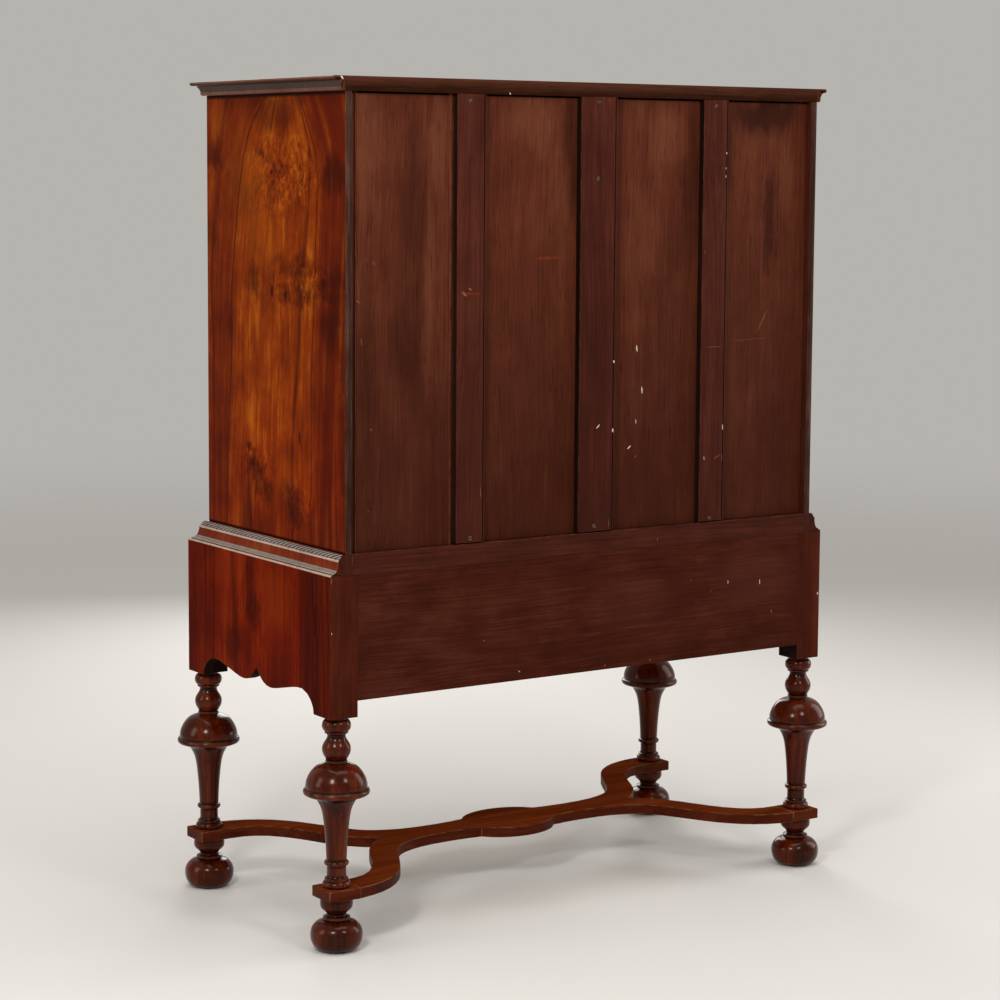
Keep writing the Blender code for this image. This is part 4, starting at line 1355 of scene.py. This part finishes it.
for i, (x, z, turn) in enumerate(SCREWS):
    x, z = MM * x, MM * z
    bm = bmesh.new()
    for side in (-1, 1):
        arc = []
        for k in range(SCREW_STEPS + 1):
            a = SLOT_ANGLE + (math.pi - 2 * SLOT_ANGLE) * k / SCREW_STEPS
            arc.append((SCREW_R * math.cos(a), side * SCREW_R * math.sin(a)))
        prism(bm, turned_by(turn, x, z, arc), 1, BACK - SCREW_SUNK, BACK + SCREW_PROUD)
    seat = [(x + SCREW_SEAT * math.cos(a), z + SCREW_SEAT * math.sin(a)) for a in angles(SEAT_POINTS)]
    sides, caps = prism(bm, seat, 1, BACK - SCREW_SUNK, BACK + SCREW_PROUD / 4)
    # The seat round each head is near-black, as painted shade in the hole and the slot
    set_looks(sides + caps, lambda face: 1)
    show(f"back_screw_{i + 1}", bm, (IRON, HOLE_SHADE), "back_wood", turned=True)

low, high = BATTENS[0]
strip = bmesh.new()
edge_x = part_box("chest_base_rail")[1].x - EDGE_BEAD_IN
for x, width in ((high.x + BACK_BEAD_AWAY, BACK_BEAD), (edge_x, EDGE_BEAD)):
    half_round(strip, (x, 0.0, low.z), (x, 0.0, high.z), width, BACK_BEAD_OUT, PANEL_BACK, 0, "z")
show("back_panel_beads", strip, BACK_WOOD, "back_wood", turned=True)

marks = {PAINT: bmesh.new(), SCAR: bmesh.new(), SMEAR: bmesh.new()}
for x, z, length, width, tilt, look in MARKS:
    bm = marks[look]
    x, z = MM * x, MM * z
    y = surface(x, z)
    flat = []
    for a in angles(MARK_POINTS):
        grow = MM / 2 * draw.uniform(*MARK_GROWTH)
        flat.append((grow * length * math.cos(a), grow * width * math.sin(a)))
    rim = [bm.verts.new(raised(point, 1, y)) for point in turned_by(math.radians(tilt), x, z, flat)]
    crown = bm.verts.new((x, y + MARK_PROUD, z))
    for a, b in zip(rim, rim[1:] + rim[:1]):
        bm.faces.new((a, b, crown))
    bm.faces.new(rim)
for name, look in (("paint_flecks", PAINT), ("scratches", SCAR), ("smears", SMEAR)):
    show(f"back_{name}", marks[look], look, "back_wood", turned=True)

# Stage: a pale floor that fades into the surround
FLOOR_RADIUS = 9.0
FLOOR_SIDES = 96
FLOOR_FADE = (1.5, 8.0)
FLOOR_COLOUR = (660, 640, 610)
WORLD_COLOUR = (470, 455, 430)
g = Graph("pale_floor")
g.shade({"Base Color": lit(FLOOR_COLOUR), "Roughness": 0.9, "Specular IOR Level": 0.1})
fading = {0: g.step(g.length(g.place()), *FLOOR_FADE), 1: Value(g, g.shader.outputs[0])}
fading[2] = g.node("BsdfTransparent", {})
g.put(g.tree.nodes["Material Output"].inputs["Surface"], g.node("MixShader", fading))
floor = bmesh.new()
bmesh.ops.create_circle(floor, cap_ends=True, segments=FLOOR_SIDES, radius=FLOOR_RADIUS)
meshed("floor", floor, g.material)

world = bpy.data.worlds.new("surround")
bpy.context.scene.world = world
world.use_nodes = True
background = world.node_tree.nodes["Background"].inputs
background["Color"].default_value = lit(WORLD_COLOUR)
background["Strength"].default_value = 1.0

# Lamps: place, target, width, height, watts
SOFTBOXES = {
    "softbox_left": ((2.10, 1.60, 2.10), (0.3, 0.1, 0.75), 0.42, 0.50, 32.0),
    "softbox_right": ((0.05, 2.30, 2.10), (0.0, 0.2, 0.75), 0.34, 0.40, 13.0),
    "softbox_far": ((-2.60, 0.60, 1.30), (-0.4, 0.0, 0.7), 1.2, 2.0, 22.0),
    "softbox_front": ((-1.20, -2.60, 1.60), (0.0, -0.2, 0.8), 1.2, 1.8, 32.0),
    "softbox_side": ((3.10, -0.50, 1.50), (0.3, -0.2, 0.8), 0.9, 1.6, 16.0),
    "overhead": ((0.0, 0.3, 3.6), ORIGIN, 2.4, 2.4, 50.0),
}
for name, (place, target, width, height, watts) in SOFTBOXES.items():
    light = bpy.data.lights.new(name, "AREA")
    light.shape = "RECTANGLE"
    light.size, light.size_y = width, height
    light.energy = watts
    lamp = linked(name, light)
    lamp.location = place
    lamp.rotation_euler = (Vector(target) - Vector(place)).to_track_quat("-Z", "Y").to_euler()
    lamp.visible_camera = False

camera = linked("camera", bpy.data.cameras.new("camera"))
camera.data.sensor_width = SENSOR
camera.data.lens = FOCAL_PIXELS / IMAGE * SENSOR
camera.data.shift_y = SHIFT
look = Vector((-math.sin(YAW) * math.cos(PITCH), -math.cos(YAW) * math.cos(PITCH), math.sin(PITCH)))
camera.location = EYE
camera.rotation_mode = "QUATERNION"
camera.rotation_quaternion = Quaternion(look, -ROLL) @ look.to_track_quat("-Z", "Y")
bpy.context.scene.camera = camera
bpy.context.scene.view_settings.view_transform = "Standard"
